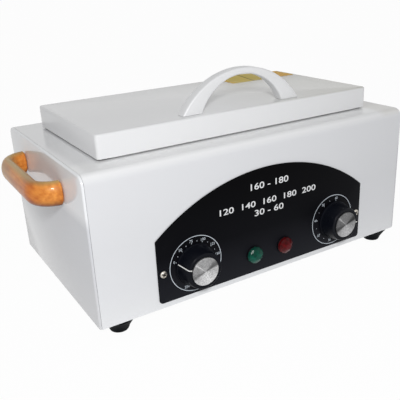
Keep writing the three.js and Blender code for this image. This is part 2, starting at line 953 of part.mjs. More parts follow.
// Terminal block on the base plate, with a slot for each pole
function terminalBlock() {
  const low = caseBottom + caseSheet + seatGap;
  const top = low + blockHeight;
  const y = middleY + blockY;
  let made = block(-blockWidth / 2, blockWidth / 2, y - blockDepth / 2, y + blockDepth / 2, low, top);
  for (let pole = 0; pole < blockPoles; pole += 1) {
    const x = (pole - (blockPoles - 1) / 2) * blockPitch;
    const [x0, x1] = [x - blockSlotWidth / 2, x + blockSlotWidth / 2];
    const [y0, y1] = [y - blockDepth / 2 - overrun, y + blockDepth / 2 + overrun];
    made = made.subtract(block(x0, x1, y0, y1, top - blockSlotDepth, top + overrun));
  }
  return made;
}

// Power inlet in the rear, with three blades that stand in its socket
function socketRing(width, height, radius) {
  const z = caseBottom + inletZ;
  const radii = [radius, radius, radius, radius];
  return roundedRing(inletX - width / 2, inletX + width / 2, z - height / 2, z + height / 2, radii);
}

function inletBack() {
  return rearY - caseSheet - inletBodyDepth;
}

function bladePlaces() {
  return [-1, 0, 1].map((place) => [inletX + place * pinPitch, place === 0 ? pinHeight : -pinHeight]);
}

function powerInlet() {
  const flangeFace = rearY + seatGap + inletFlange;
  const z = caseBottom + inletZ;
  const outer = socketRing(inletFlangeWidth, inletFlangeHeight, inletCorner);
  const body = socketRing(inletBodyWidth, inletBodyHeight, inletCorner);
  const socket = socketRing(inletSocketWidth, inletSocketHeight, inletCorner);
  let inlet = frontPlate(outer, rearY + seatGap, flangeFace)
    .add(frontPlate(body, inletBack(), flangeFace))
    .subtract(frontPlate(socket, flangeFace - inletSocketDepth, flangeFace + overrun));
  for (const [x, lift] of bladePlaces()) {
    const [halfX, halfZ] = [pinWidth / 2 + seatGap, pinHeight / 2 + seatGap];
    const [y0, y1] = [inletBack() - overrun, flangeFace - inletSocketDepth + overrun];
    inlet = inlet.subtract(
      block(x - halfX, x + halfX, y0, y1, z + lift / 2 - halfZ, z + lift / 2 + halfZ),
    );
  }
  return inlet;
}

function inletPins() {
  const z = caseBottom + inletZ;
  const tip = rearY + seatGap + inletFlange - inletSocketDepth + pinReach;
  const bridgeFront = inletBack() - seatGap - pinBridge;
  const halfBridge = pinPitch + pinWidth;
  let pins = block(
    inletX - halfBridge,
    inletX + halfBridge,
    bridgeFront,
    bridgeFront + pinBridge,
    z - pinHeight,
    z + pinHeight,
  );
  for (const [x, lift] of bladePlaces()) {
    const [z0, z1] = [z + lift / 2 - pinHeight / 2, z + lift / 2 + pinHeight / 2];
    pins = pins.add(block(x - pinWidth / 2, x + pinWidth / 2, bridgeFront, tip, z0, z1));
  }
  return pins;
}

// Instrument tray: a slotted pan on the tank floor, with a wire grip at each end
function trayFloor() {
  return tankBottom + tankSheet + seatGap;
}

function instrumentTray() {
  const low = trayFloor();
  const outside = evenRing(trayWidth / 2, trayDepth / 2, trayCorner, middleY);
  const inside = evenRing(
    trayWidth / 2 - traySheet,
    trayDepth / 2 - traySheet,
    trayCorner - traySheet,
    middleY,
  );
  let tray = plate(outside, low, low + trayHeight);
  tray = tray.subtract(plate(inside, low + traySheet, low + trayHeight + overrun));
  for (let column = 0; column < traySlotColumns; column += 1) {
    for (let row = 0; row < traySlotRows; row += 1) {
      const x = (column - (traySlotColumns - 1) / 2) * traySlotPitchX;
      const y = middleY + (row - (traySlotRows - 1) / 2) * traySlotPitchY;
      const [x0, x1] = [x - traySlotLength / 2, x + traySlotLength / 2];
      const [y0, y1] = [y - traySlotWidth / 2, y + traySlotWidth / 2];
      tray = tray.subtract(block(x0, x1, y0, y1, low - overrun, low + traySheet + overrun));
    }
  }
  return tray;
}

function trayGrip(side) {
  const low = trayFloor() + traySheet + seatGap;
  const x = side * (trayWidth / 2 - traySheet - gripInset);
  const [half, top] = [gripSpan / 2, low + gripHeight - gripWire];
  const corners = [
    new THREE.Vector3(x, middleY - half, low),
    new THREE.Vector3(x, middleY - half, top),
    new THREE.Vector3(x, middleY + half, top),
    new THREE.Vector3(x, middleY + half, low),
  ];
  return tube(bentRod(corners, gripCorner), gripWire, archSteps);
}

// Lid shell: a pan with soft top edges, holes for the handle screws and an open underside
function lidShell() {
  const ring = (inset, z) =>
    evenRing(lidWidth / 2 - inset, lidDepth / 2 - inset, lidCorner, middleY).map(([x, y]) => [x, y, z]);
  const roundSteps = lidRollShares.map((share) => (share * Math.PI) / 2);
  const rolled = roundSteps.map((angle) =>
    ring(lidEdge * (1 - Math.cos(angle)), lidTop - lidEdge * (1 - Math.sin(angle))),
  );
  let shell = loft([ring(0, lidBottom), ...rolled]);
  shell = shell.subtract(
    loft([ring(lidSheet, lidBottom - overrun), ring(lidSheet, lidTop - lidSheet)]),
  );
  for (const [, side] of sides) {
    const [x, y] = lidScrewPlace(side);
    const length = lidSheet + 2 * overrun;
    const hole = bar("down", lidHandleScrewRadius + seatGap, x, y, lidTop + overrun, length);
    shell = shell.subtract(hole);
  }
  return shell;
}

function lidScrewPlace(side) {
  const x = (side * (lidHandleSpan + lidHandleInnerSpan)) / 4;
  return [x, middleY - lidDepth / 2 + lidHandleSetback + lidHandleDepth / 2];
}

// Lid liner: the stainless underside, with a lip inside the shell
function lidLiner() {
  const inset = lidSheet + seatGap;
  const [halfX, halfY] = [lidWidth / 2 - inset, lidDepth / 2 - inset];
  const ring = (more) => evenRing(halfX - more, halfY - more, lidCorner, middleY);
  return plate(ring(0), linerBottom, linerBottom + linerLip).subtract(
    plate(ring(linerSheet), linerBottom + linerSheet, linerBottom + linerLip + overrun),
  );
}

function lidInsulation() {
  const inset = lidSheet + linerSheet + 2 * seatGap;
  const ring = evenRing(lidWidth / 2 - inset, lidDepth / 2 - inset, lidCorner, middleY);
  return plate(ring, linerBottom + linerSheet + seatGap, lidTop - lidSheet - lidHeadRoom);
}

function lidGasket() {
  const inset = lidSheet + seatGap;
  const [halfX, halfY] = [lidWidth / 2 - inset, lidDepth / 2 - inset];
  const ring = (more) => evenRing(halfX - more, halfY - more, lidCorner, middleY);
  const [low, high] = [gasketBottom, gasketBottom + gasketHeight];
  return plate(ring(0), low, high).subtract(plate(ring(gasketWidth), low - overrun, high + overrun));
}

// Lid handle: an arch between two arcs, with softened faces
function archRing(inset, y) {
  const ring = [];
  const arc = (span, rise, forward) => {
    const half = span / 2;
    const radius = (half * half + rise * rise) / (2 * rise);
    const reach = Math.atan2(half, radius - rise);
    for (let i = 0; i <= archSteps; i += 1) {
      const angle = forward * reach * (1 - (2 * i) / archSteps);
      ring.push([radius * Math.sin(angle), y, lidTop + seatGap + rise - radius + radius * Math.cos(angle)]);
    }
  };
  arc(lidHandleSpan - 2 * inset, lidHandleRise - inset, 1);
  arc(lidHandleInnerSpan + 2 * inset, lidHandleInnerRise + inset, -1);
  return ring;
}

function lidHandle() {
  const front = middleY - lidDepth / 2 + lidHandleSetback;
  const rear = front + lidHandleDepth;
  const rings = [
    archRing(lidHandleEdge, front),
    archRing(0, front + lidHandleEdge),
    archRing(0, rear - lidHandleEdge),
    archRing(lidHandleEdge, rear),
  ];
  let handle = loftArch(rings);
  for (const [, side] of sides) {
    const [x, y] = lidScrewPlace(side);
    const length = overrun + lidHandleScrewDepth;
    const z = lidTop + seatGap - overrun;
    handle = handle.subtract(bar("up", lidHandleScrewRadius + seatGap, x, y, z, length));
  }
  return handle;
}

// As loft, but its end faces run between the outer and the inner arc
function loftArch(rings) {
  const count = rings[0].length;
  const half = count / 2;
  const points = rings.flat().flat();
  const faces = [];
  for (let r = 0; r + 1 < rings.length; r += 1) {
    for (let i = 0; i < count; i += 1) {
      const [a, b] = [r * count + i, r * count + ((i + 1) % count)];
      faces.push(a, b, b + count, a, b + count, a + count);
    }
  }
  const last = (rings.length - 1) * count;
  for (let i = 0; i + 1 < half; i += 1) {
    const [a, b, c, d] = [i, i + 1, count - 2 - i, count - 1 - i];
    faces.push(a, c, b, a, d, c);
    faces.push(last + a, last + b, last + c, last + a, last + c, last + d);
  }
  const geometry = new THREE.BufferGeometry();
  geometry.setAttribute("position", new THREE.BufferAttribute(new Float32Array(points), 3));
  geometry.setIndex(faces);
  return solid(geometry);
}

function lidHandleScrew(side) {
  const [x, y] = lidScrewPlace(side);
  const head = lidTop - lidSheet - seatGap;
  const tip = lidSheet + 2 * seatGap + lidHandleScrewDepth - overrun;
  return turned(
    [
      [0, -lidHandleScrewHead],
      [lidHandleScrewHeadRadius, -lidHandleScrewHead],
      [lidHandleScrewHeadRadius, 0],
      [lidHandleScrewRadius, 0],
      [lidHandleScrewRadius, tip],
      [0, tip],
    ],
    "up",
    x,
    y,
    head,
    smallSides,
  );
}

// Hinges: the case leaf has the middle knuckle, the lid leaf the two outer ones
function hingeParts(side) {
  const x = side * hingeX;
  const [x0, x1] = [x - hingeWidth / 2, x + hingeWidth / 2];
  const halfMiddle = (hingeWidth * hingeMiddleShare) / 2;
  const clear = hingeKnuckleRadius + 2 * seatGap;
  const knuckle = (from, to) => bar("right", hingeKnuckleRadius, from, hingeY, hingeZ, to - from);
  const bore = bar("right", hingePinRadius + seatGap, x0 - overrun, hingeY, hingeZ, hingeWidth + 2 * overrun);
  const gapLow = x - halfMiddle - seatGap;
  const gapHigh = x + halfMiddle + seatGap;
  const [leafLow, leafFace] = [hingeZ - hingeKnuckleRadius, hingeY - hingeKnuckleRadius];
  let caseLeaf = block(x0, x1, hingeY, hingeY + hingeCaseLeaf, leafLow, leafLow + hingeSheet);
  for (const [from, to] of [[x0 - overrun, gapLow + seatGap], [gapHigh - seatGap, x1 + overrun]]) {
    caseLeaf = caseLeaf.subtract(
      block(from, to, hingeY - overrun, hingeY + clear, leafLow - overrun, hingeZ + hingeKnuckleRadius),
    );
  }
  caseLeaf = caseLeaf.add(knuckle(x - halfMiddle, x + halfMiddle)).subtract(bore);
  let lidLeaf = block(x0, x1, leafFace, leafFace + hingeSheet, hingeZ, hingeZ + hingeLidLeaf);
  lidLeaf = lidLeaf.subtract(
    block(gapLow, gapHigh, leafFace - overrun, hingeY, hingeZ - overrun, hingeZ + clear),
  );
  lidLeaf = lidLeaf.add(knuckle(x0, gapLow)).add(knuckle(gapHigh, x1)).subtract(bore);
  const pin = bar("right", hingePinRadius, x0, hingeY, hingeZ, hingeWidth);
  return { caseLeaf, lidLeaf, pin };
}

// The whole object: the case, the lid on its hinges, and the two knobs on their shafts
const sterilizer = new THREE.Group();
const caseGroup = new THREE.Group();
const lidGroup = new THREE.Group();
const thermostatGroup = new THREE.Group();
const timerGroup = new THREE.Group();
sterilizer.add(caseGroup, lidGroup, thermostatGroup, timerGroup);

mesh(caseGroup, "outer_wrap", outerWrap(), enamel);
mesh(caseGroup, "base_plate", basePlate(), galvanised);
mesh(caseGroup, "fascia_plate", fasciaPlate(), blackPanel);
const footNames = ends.flatMap(([end]) => sides.map(([side]) => `${end}_${side}_foot`));
footPlaces().forEach(([x, y], i) => {
  mesh(caseGroup, footNames[i], foot(x, y), rubber);
  mesh(caseGroup, `${footNames[i]}_screw`, footScrew(x, y), steel);
});
for (const [word, side] of sides) {
  mesh(caseGroup, `${word}_end_panel`, endPanel(side), enamel);
  mesh(caseGroup, `${word}_handle`, sideHandle(side), wood);
  for (const [end, place] of ends) {
    mesh(caseGroup, `${word}_handle_${end}_screw`, sideHandleScrew(side, place), steel);
  }
  mesh(caseGroup, `fascia_screw_${word}`, fasciaScrew(side), steel);
  const lamp = side < 0 ? "green" : "red";
  mesh(caseGroup, `${lamp}_lamp_body`, lampBody(side), blackPlastic);
  mesh(caseGroup, `${lamp}_lamp_lens`, lampLens(side), side < 0 ? greenLens : redLens);
  const hinge = hingeParts(side);
  mesh(caseGroup, `${word}_hinge_case_leaf`, hinge.caseLeaf, steel);
  mesh(caseGroup, `${word}_hinge_pin`, hinge.pin, steel);
  mesh(lidGroup, `${word}_hinge_lid_leaf`, hinge.lidLeaf, steel);
  mesh(lidGroup, `lid_handle_screw_${word}`, lidHandleScrew(side), steel);
  mesh(caseGroup, `tray_grip_${word}`, trayGrip(side), steel);
  const control = side < 0 ? "thermostat" : "timer";
  const controlGroup = side < 0 ? thermostatGroup : timerGroup;
  mesh(controlGroup, `${control}_knob`, knob(side), blackPlastic);
  mesh(controlGroup, `${control}_knob_cap`, knobCap(side), aluminium);
  mesh(controlGroup, `${control}_shaft`, controlShaft(side), steel);
}
mesh(caseGroup, "chamber_tank", chamberTank(), stainless);
mesh(caseGroup, "heating_element", heatingElement(), steel);
mesh(caseGroup, "heater_clamp", heaterClamp(), galvanised);
mesh(caseGroup, "thermal_cutout", thermalCutout(), phenolic);
mesh(caseGroup, "tank_insulation", tankInsulation(), fibre);
mesh(caseGroup, "insulation_strap", insulationStrap(), galvanised);
mesh(caseGroup, "thermostat_body", thermostatBody(), phenolic);
mesh(caseGroup, "thermostat_bulb", thermostatBulb(), steel);
mesh(caseGroup, "timer_body", timerBody(), galvanised);
mesh(caseGroup, "terminal_block", terminalBlock(), phenolic);
mesh(caseGroup, "power_inlet", powerInlet(), blackPlastic);
mesh(caseGroup, "inlet_pins", inletPins(), steel);
mesh(caseGroup, "instrument_tray", instrumentTray(), stainless);
mesh(lidGroup, "lid_shell", lidShell(), enamel);
mesh(lidGroup, "lid_liner", lidLiner(), stainless);
mesh(lidGroup, "lid_insulation", lidInsulation(), fibre);
mesh(lidGroup, "lid_gasket", lidGasket(), seal);
mesh(lidGroup, "lid_handle", lidHandle(), whitePlastic);

export default sterilizer;
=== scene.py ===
import math
from contextlib import contextmanager

import bmesh
import bpy
from mathutils import Matrix, Vector


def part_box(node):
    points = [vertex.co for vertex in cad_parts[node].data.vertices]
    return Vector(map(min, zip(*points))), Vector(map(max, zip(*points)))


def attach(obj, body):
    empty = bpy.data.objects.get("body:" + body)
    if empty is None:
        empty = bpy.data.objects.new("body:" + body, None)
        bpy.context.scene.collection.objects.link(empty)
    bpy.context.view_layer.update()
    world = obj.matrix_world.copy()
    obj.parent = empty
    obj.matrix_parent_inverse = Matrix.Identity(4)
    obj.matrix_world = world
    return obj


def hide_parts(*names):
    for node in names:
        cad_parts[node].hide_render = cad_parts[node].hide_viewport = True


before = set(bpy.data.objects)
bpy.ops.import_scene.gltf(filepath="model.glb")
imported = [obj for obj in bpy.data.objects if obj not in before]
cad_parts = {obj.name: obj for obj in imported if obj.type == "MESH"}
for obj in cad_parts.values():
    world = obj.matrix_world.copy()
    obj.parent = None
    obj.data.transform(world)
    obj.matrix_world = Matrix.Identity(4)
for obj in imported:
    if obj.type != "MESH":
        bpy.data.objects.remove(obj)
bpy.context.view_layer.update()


# Camera: a short lens from the front left, a little above the lid, with the slight tilt of a hand-held shot.
# It is aimed from the bottom middle of the case's front face.
wrap_low, wrap_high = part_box("outer_wrap")
panel_low, panel_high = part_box("left_end_panel")[0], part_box("right_end_panel")[1]
view_azimuth = math.radians(-31.775)
view_elevation = math.radians(21.501)
view_roll = math.radians(-2.289)
view_distance = 0.53203
view_target = Vector((-0.05719, wrap_low.y, panel_low.z + 0.08913))
photo_side = 400
photo_focal_length = 582.873
photo_centre = (217.721, 202.314)
sensor_side = 36
view_back = Vector((
    math.sin(view_azimuth) * math.cos(view_elevation),
    -math.cos(view_azimuth) * math.cos(view_elevation),
    math.sin(view_elevation),
))
level_right = Vector((0, 0, 1)).cross(view_back).normalized()
level_up = view_back.cross(level_right)
view_right = math.cos(view_roll) * level_right + math.sin(view_roll) * level_up
view_up = math.cos(view_roll) * level_up - math.sin(view_roll) * level_right
camera_data = bpy.data.cameras.new("photo_camera")
camera_data.sensor_width = sensor_side
camera_data.lens = sensor_side * photo_focal_length / photo_side
camera_data.shift_x = (photo_side / 2 - photo_centre[0]) / photo_side
camera_data.shift_y = (photo_centre[1] - photo_side / 2) / photo_side
camera = bpy.data.objects.new("photo_camera", camera_data)
bpy.context.scene.collection.objects.link(camera)
turn = Matrix((view_right, view_up, view_back)).transposed().to_4x4()
camera.matrix_world = Matrix.Translation(view_target + view_distance * view_back) @ turn
bpy.context.scene.camera = camera


# Floor: a plain white sweep that the object stands on. Seen straight on or in a gloss it is as white
# as the background, apart from the soft shadow under the object.
floor_size = 40.0
floor_white = (0.86, 0.86, 0.87, 1)
floor_glow = 0.966
pure_white = (1, 1, 1, 1)


def started(name, primitive, **values):
    """Adds a primitive with nothing else selected, and names it."""
    bpy.ops.object.select_all(action="DESELECT")
    primitive(**values)
    made = bpy.context.active_object
    made.name = name
    return made


def fed(tree, socket, value):
    """Gives an input a fixed value, an output, or a node that stands for its first live output."""
    if isinstance(value, bpy.types.Node):
        value = next(output for output in value.outputs if output.enabled)
    if isinstance(value, bpy.types.NodeSocket):
        tree.links.new(value, socket)
    else:
        socket.default_value = value


def wired(tree, kind, feeds=(), **settings):
    """Adds a node with its settings, and feeds its inputs, given by name or number."""
    made = tree.nodes.new("ShaderNode" + kind)
    for key, value in settings.items():
        setattr(made, key, value)
    for key, value in dict(feeds).items():
        fed(tree, made.inputs[key], value)
    return made


def maths(tree, operation, *values):
    """One step of arithmetic on one to three values."""
    return wired(tree, "Math", dict(enumerate(values)), operation=operation)


def seen_directly(tree):
    """1 for what the camera, a gloss or clear plastic sees, 0 for the light that falls on things."""
    rays = wired(tree, "LightPath").outputs
    either = maths(tree, "MAXIMUM", rays["Is Camera Ray"], rays["Is Glossy Ray"])
    return maths(tree, "MAXIMUM", either, rays["Is Transmission Ray"])


floor = started("floor", bpy.ops.mesh.primitive_plane_add, size=floor_size, location=(0, 0, 0))
floor_finish = bpy.data.materials.new("floor_white")
floor_finish.use_nodes = True
tree = floor_finish.node_tree
tree.nodes.clear()
share = maths(tree, "MULTIPLY", seen_directly(tree), floor_glow)
matt = wired(tree, "BsdfDiffuse", {"Color": floor_white})
glow = wired(tree, "Emission", {"Color": pure_white})
blend = wired(tree, "MixShader", {0: share, 1: matt, 2: glow})
wired(tree, "OutputMaterial", {"Surface": blend})
floor.data.materials.append(floor_finish)


# Light: an even white room, and one small flash-like lamp behind and above the camera, so the near corner
# is the brightest. The room shows as pure white behind the object and in its glosses, and lights it less.
room_level = 0.31
flash_place = Vector((-0.42, -0.78, 0.56))
flash_target = Vector((0, 0, 0.08))
flash_power = 5.1
flash_side = 0.08


def spanned(tree, value, low, high, to_low=0.0, to_high=1.0):
    """Carries a value over from one span to another, and holds it at the ends."""
    feeds = {"Value": value, "From Min": low, "From Max": high, "To Min": to_low, "To Max": to_high}
    return wired(tree, "MapRange", feeds)


world = bpy.data.worlds.new("white_room")
bpy.context.scene.world = world
world.use_nodes = True
tree = world.node_tree
tree.nodes.clear()
level = spanned(tree, seen_directly(tree), 0.0, 1.0, room_level, 1.0)
room = wired(tree, "Background", {"Color": pure_white, "Strength": level})
wired(tree, "OutputWorld", {"Surface": room})
flash_data = bpy.data.lights.new("flash_lamp", "AREA")
flash_data.energy = flash_power
flash_data.shape = "SQUARE"
flash_data.size = flash_side
flash = bpy.data.objects.new("flash_lamp", flash_data)
bpy.context.scene.collection.objects.link(flash)
aim = (flash_place - flash_target).to_track_quat("Z", "Y")
flash.matrix_world = Matrix.Translation(flash_place) @ aim.to_matrix().to_4x4()
bpy.context.scene.view_settings.view_transform = "Standard"


# Outer wrap: the case's front, top and rear are one steel sheet, bent over a former at both long top
# edges and baked with glossy white enamel. It is punched for the tank, controls, lamps and power inlet.
sheet = 0.001
bend = 0.009
wrap_hole = 0.0062
mouth_margin = Vector((0.014, 0.014, 0))
inlet_margin = Vector((0.0095, 0, 0.002))
cut_margin = 0.004
near = 0.0001
smooth_limit = math.radians(35)
enamel_white = (0.80, 0.805, 0.815)
enamel_coat, enamel_coat_roughness = 0.05, 0.12
grain_outputs = [("Colour", "Color"), ("Roughness", "Float"), ("Height", "Float")]
all_even = (1, 1, 1)
along_x, along_y, along_z = (1, 0, 0), (0, 1, 0), (0, 0, 1)


def only(obj):
    """Selects one object alone and makes it the active one."""
    bpy.ops.object.select_all(action="DESELECT")
    obj.select_set(True)
    bpy.context.view_layer.objects.active = obj


def settled(obj):
    """Writes an object's place, turn and size into its mesh."""
    only(obj)
    bpy.ops.object.transform_apply(location=True, rotation=True, scale=True)
    return obj


@contextmanager
def editing(obj):
    """Opens one object in edit mode, and closes it again."""
    only(obj)
    bpy.ops.object.mode_set(mode="EDIT")
    yield
    bpy.ops.object.mode_set(mode="OBJECT")


def box_middle(node, **level):
    """The middle of a solid's box, moved to a level on an axis."""
    low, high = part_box(node)
    middle = (low + high) / 2
    for axis, value in level.items():
        setattr(middle, axis, value)
    return middle


def cuboid(name, low, high):
    """A block between two corners, to be shaped further."""
    low, high = Vector(low), Vector(high)
    made = started(name, bpy.ops.mesh.primitive_cube_add, size=1, location=(low + high) / 2)
    made.scale = high - low
    return settled(made)


def rod(name, middle, radius, length, axis="Y", sides=32):
    """A round bar about Y or Z, to cut with or to be shaped further."""
    turns = {"Y": (math.pi / 2, 0, 0), "Z": (0, 0, 0)}
    return settled(started(
        name, bpy.ops.mesh.primitive_cylinder_add,
        vertices=sides, radius=radius, depth=length, location=middle, rotation=turns[axis],
    ))


def chosen(obj, kind, test):
    """In edit mode, selects the faces or edges whose middle and direction pass the test."""
    bpy.ops.mesh.select_mode(type=kind)
    bpy.ops.mesh.select_all(action="DESELECT")
    mesh = bmesh.from_edit_mesh(obj.data)
    for item in mesh.faces if kind == "FACE" else mesh.edges:
        if kind == "FACE":
            middle, way = item.calc_center_median(), item.normal
        else:
            one, other = (vert.co for vert in item.verts)
            middle, way = (one + other) / 2, (other - one).normalized()
        if test(middle, way):
            item.select_set(True)
    bmesh.update_edit_mesh(obj.data)


def opened(obj, test):
    """Takes out the faces that pass the test."""
    chosen(obj, "FACE", test)
    bpy.ops.mesh.delete(type="FACE")


def rounded(obj, size, steps, test):
    """Rounds off the edges that pass the test."""
    chosen(obj, "EDGE", test)
    bpy.ops.mesh.bevel(offset=size, segments=steps, profile=0.5, affect="EDGES")


def upright(middle, way):
    """True for an edge that runs up."""
    return abs(way.z) > 0.9


def applied(obj, kind, **values):
    """Adds a modifier with these values and applies it at once."""
    modifier = obj.modifiers.new(kind.lower(), kind)
    for key, value in values.items():
        setattr(modifier, key, value)
    only(obj)
    bpy.ops.object.modifier_apply(modifier=modifier.name)


def walled(obj, thickness):
    """Gives a single surface the thickness of its sheet, inwards."""
    applied(obj, "SOLIDIFY", thickness=thickness, offset=-1.0)


def cut(obj, tool, operation="DIFFERENCE"):
    """Takes a tool out of an object, or keeps what they share, and clears the tool away."""
    applied(obj, "BOOLEAN", operation=operation, object=tool, solver="EXACT")
    bpy.data.objects.remove(tool, do_unlink=True)


def empty_group(name, inputs, outputs):
    """A node group with named inputs and outputs. Returns it with what it is given."""
    group = bpy.data.node_groups.new(name, "ShaderNodeTree")
    for socket, kind, value in inputs:
        made = group.interface.new_socket(socket, in_out="INPUT", socket_type="NodeSocket" + kind)
        made.default_value = value
    for socket, kind in outputs:
        group.interface.new_socket(socket, in_out="OUTPUT", socket_type="NodeSocket" + kind)
    return group, group.nodes.new("NodeGroupInput").outputs


def put_out(group, **sources):
    """Leads nodes to a group's outputs."""
    ends = group.nodes.new("NodeGroupOutput").inputs
    for socket, source in sources.items():
        fed(group, ends[socket], source)


def blended(tree, share, one, other, way="MIX"):
    """Two colours mixed by a share, or multiplied."""
    return wired(tree, "Mix", {"Factor": share, "A": one, "B": other}, data_type="RGBA", blend_type=way)


def ramped(tree, value, stops, interpolation="LINEAR"):
    """A run of colours over a value: stops are (position, colour)."""
    run = wired(tree, "ValToRGB", {0: value})
    run.color_ramp.interpolation = interpolation
    elements = run.color_ramp.elements
    while len(elements) < len(stops):
        elements.new(0.5)
    for element, (position, colour) in zip(elements, stops):
        element.position = position
        element.color = (*colour, 1)
    return run


def scaled(tree, colour, factor):
    """A colour made lighter or darker by a number."""
    return wired(tree, "VectorMath", {0: colour, "Scale": factor}, operation="SCALE")


def grain_group():
    """Slow patches of tint and gloss, and a fine height, that every moulded or coated surface here has."""
    group, given = empty_group("surface_grain", [
        ("Colour", "Color", (0.8, 0.8, 0.8, 1)),
        ("Variation", "Float", 0.03),
        ("Roughness", "Float", 0.3),
        ("Spread", "Float", 0.08),
        ("Patch Scale", "Float", 18.0),
        ("Grain Scale", "Float", 900.0),
    ], grain_outputs)
    place = wired(group, "TexCoord").outputs["Object"]
    patches = wired(group, "TexNoise", {"Vector": place, "Scale": given["Patch Scale"], "Detail": 3})
    centred = maths(group, "SUBTRACT", patches, 0.5)
    tint = maths(group, "MULTIPLY_ADD", centred, given["Variation"], 1.0)
    gloss = maths(group, "MULTIPLY_ADD", centred, given["Spread"], given["Roughness"])
    fine = wired(group, "TexNoise", {"Vector": place, "Scale": given["Grain Scale"], "Detail": 2})
    put_out(group, Colour=scaled(group, given["Colour"], tint), Roughness=gloss, Height=fine)
    return group


def place_share_group():
    """How far a spot lies along an axis, from 0 at From to 1 at To."""
    group, given = empty_group(
        "place_share", [("Axis", "Vector", along_z), ("From", "Float", 0.0), ("To", "Float", 1.0)],
        [("Share", "Float")],
    )
    place = wired(group, "TexCoord").outputs["Object"]
    reach = wired(group, "VectorMath", {0: place, 1: given["Axis"]}, operation="DOT_PRODUCT")
    put_out(group, Share=spanned(group, reach, given["From"], given["To"]))
    return group


def place_tint_group():
    """A colour multiplied by a lifted tint, all over or on what faces up alone."""
    group, given = empty_group("place_tint", [
        ("Colour", "Color", (0.8, 0.8, 0.8, 1)),
        ("Tint", "Color", pure_white),
        ("Lift", "Float", 1.0),
        ("Upward Only", "Float", 0.0),
    ], [("Colour", "Color")])
    way = wired(group, "SeparateXYZ", {0: wired(group, "TexCoord").outputs["Normal"]})
    facing_up = spanned(group, way.outputs["Z"], 0.3, 0.95)
    all_over = maths(group, "SUBTRACT", 1.0, given["Upward Only"])
    lifted = scaled(group, given["Tint"], given["Lift"])
    share = maths(group, "MAXIMUM", facing_up, all_over)
    put_out(group, Colour=blended(group, share, given["Colour"], lifted, "MULTIPLY"))
    return group


surface_grain, place_share, place_tint = grain_group(), place_share_group(), place_tint_group()


def new_finish(name):
    """A new material. Returns it with its node tree and shader."""
    material = bpy.data.materials.new(name)
    material.use_nodes = True
    return material, material.node_tree, material.node_tree.nodes["Principled BSDF"]


def set_sockets(shader, **values):
    """Sets plain numbers on the shader's own sockets, named with _ for a space."""
    for key, value in values.items():
        shader.inputs[key.replace("_", " ")].default_value = value


def surfaced(tree, shader, effect, height):
    """Leads an effect's colour, gloss and relief to the shader."""
    fed(tree, shader.inputs["Base Color"], effect.outputs["Colour"])
    fed(tree, shader.inputs["Roughness"], effect.outputs["Roughness"])
    relief = wired(tree, "Bump", {"Distance": height, "Height": effect.outputs["Height"]})
    fed(tree, shader.inputs["Normal"], relief)


def grained(
    name, colour, roughness, variation=0.03, spread=0.08, patches=18.0, grain=900.0, height=0.00002,
    specular=0.5, metallic=0.0,
):
    """A material with the shared grain on its colour, gloss and relief."""
    material, tree, shader = new_finish(name)
    effect = wired(tree, "Group", node_tree=surface_grain, feeds={
        "Colour": (*colour, 1), "Variation": variation, "Roughness": roughness, "Spread": spread,
        "Patch Scale": patches, "Grain Scale": grain,
    })
    surfaced(tree, shader, effect, height)
    set_sockets(shader, Specular_IOR_Level=specular, Metallic=metallic)
    return material


def recoloured(material, change):
    """Passes a finish's colour through a change: a function of its node tree and present colour."""
    tree = material.node_tree
    socket = tree.nodes["Principled BSDF"].inputs["Base Color"]
    fed(tree, socket, change(tree, socket.links[0].from_socket))


def shifted(material, axis, stops, upward_only=0.0):
    """Makes a finish lighter or darker along an axis: stops are (place, red, green and blue factors)."""
    first, last = stops[0][0], stops[-1][0]
    peak = max(max(tint) for spot, tint in stops)
    even = [((spot - first) / (last - first), [value / peak for value in tint]) for spot, tint in stops]

    def change(tree, colour):
        """The present colour, multiplied by the run of tints."""
        share = wired(tree, "Group", node_tree=place_share, feeds={"Axis": axis, "From": first, "To": last})
        return wired(tree, "Group", node_tree=place_tint, feeds={
            "Colour": colour, "Tint": ramped(tree, share, even), "Lift": peak, "Upward Only": upward_only,
        })

    recoloured(material, change)


def baked_enamel(name, roughness=0.2, specular=0.35):
    """Glossy white enamel, as it comes out of the oven."""
    material = grained(
        name, enamel_white, roughness, spread=0.06, patches=9.0, grain=420.0, height=0.000012, specular=specular
    )
    shader = material.node_tree.nodes["Principled BSDF"]
    set_sockets(shader, Coat_Weight=enamel_coat, Coat_Roughness=enamel_coat_roughness)
    return material


def dressed(obj, material, body, slot, *nodes_replaced):
    """Shades a finished piece smooth, gives it its material and says what it rides on and stands for."""
    only(obj)
    bpy.ops.object.shade_smooth_by_angle(angle=smooth_limit)
    obj.data.materials.clear()
    obj.data.materials.append(material)
    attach(obj, body)
    if nodes_replaced:
        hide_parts(*nodes_replaced)


wrap_enamel = baked_enamel("wrap_enamel", 0.13)
# Painted light: the front face a little darker, and the bend and the strip of top in front of the lid lighter,
# as a painted highlight and a painted reflection of the lid's front.
shifted(wrap_enamel, along_y, [
    (wrap_low.y + 0.0001, (0.91, 0.915, 0.93)),
    (wrap_low.y + 0.001, (0.97, 0.975, 0.98)),
    (wrap_low.y + 0.003, (1.09, 1.09, 1.09)),
    (wrap_low.y + 0.027, (1.10, 1.10, 1.09)),
    (wrap_low.y + 0.04, (0.98, 0.98, 0.98)),
])
# Painted light: the front lighter towards its bottom edge.
shifted(wrap_enamel, along_z, [
    (wrap_low.z, (1.18, 1.18, 1.17)),
    (wrap_low.z + 0.012, (1.12, 1.12, 1.11)),
    (wrap_low.z + 0.03, (1.06, 1.06, 1.06)),
    (wrap_low.z + 0.07, all_even),
])
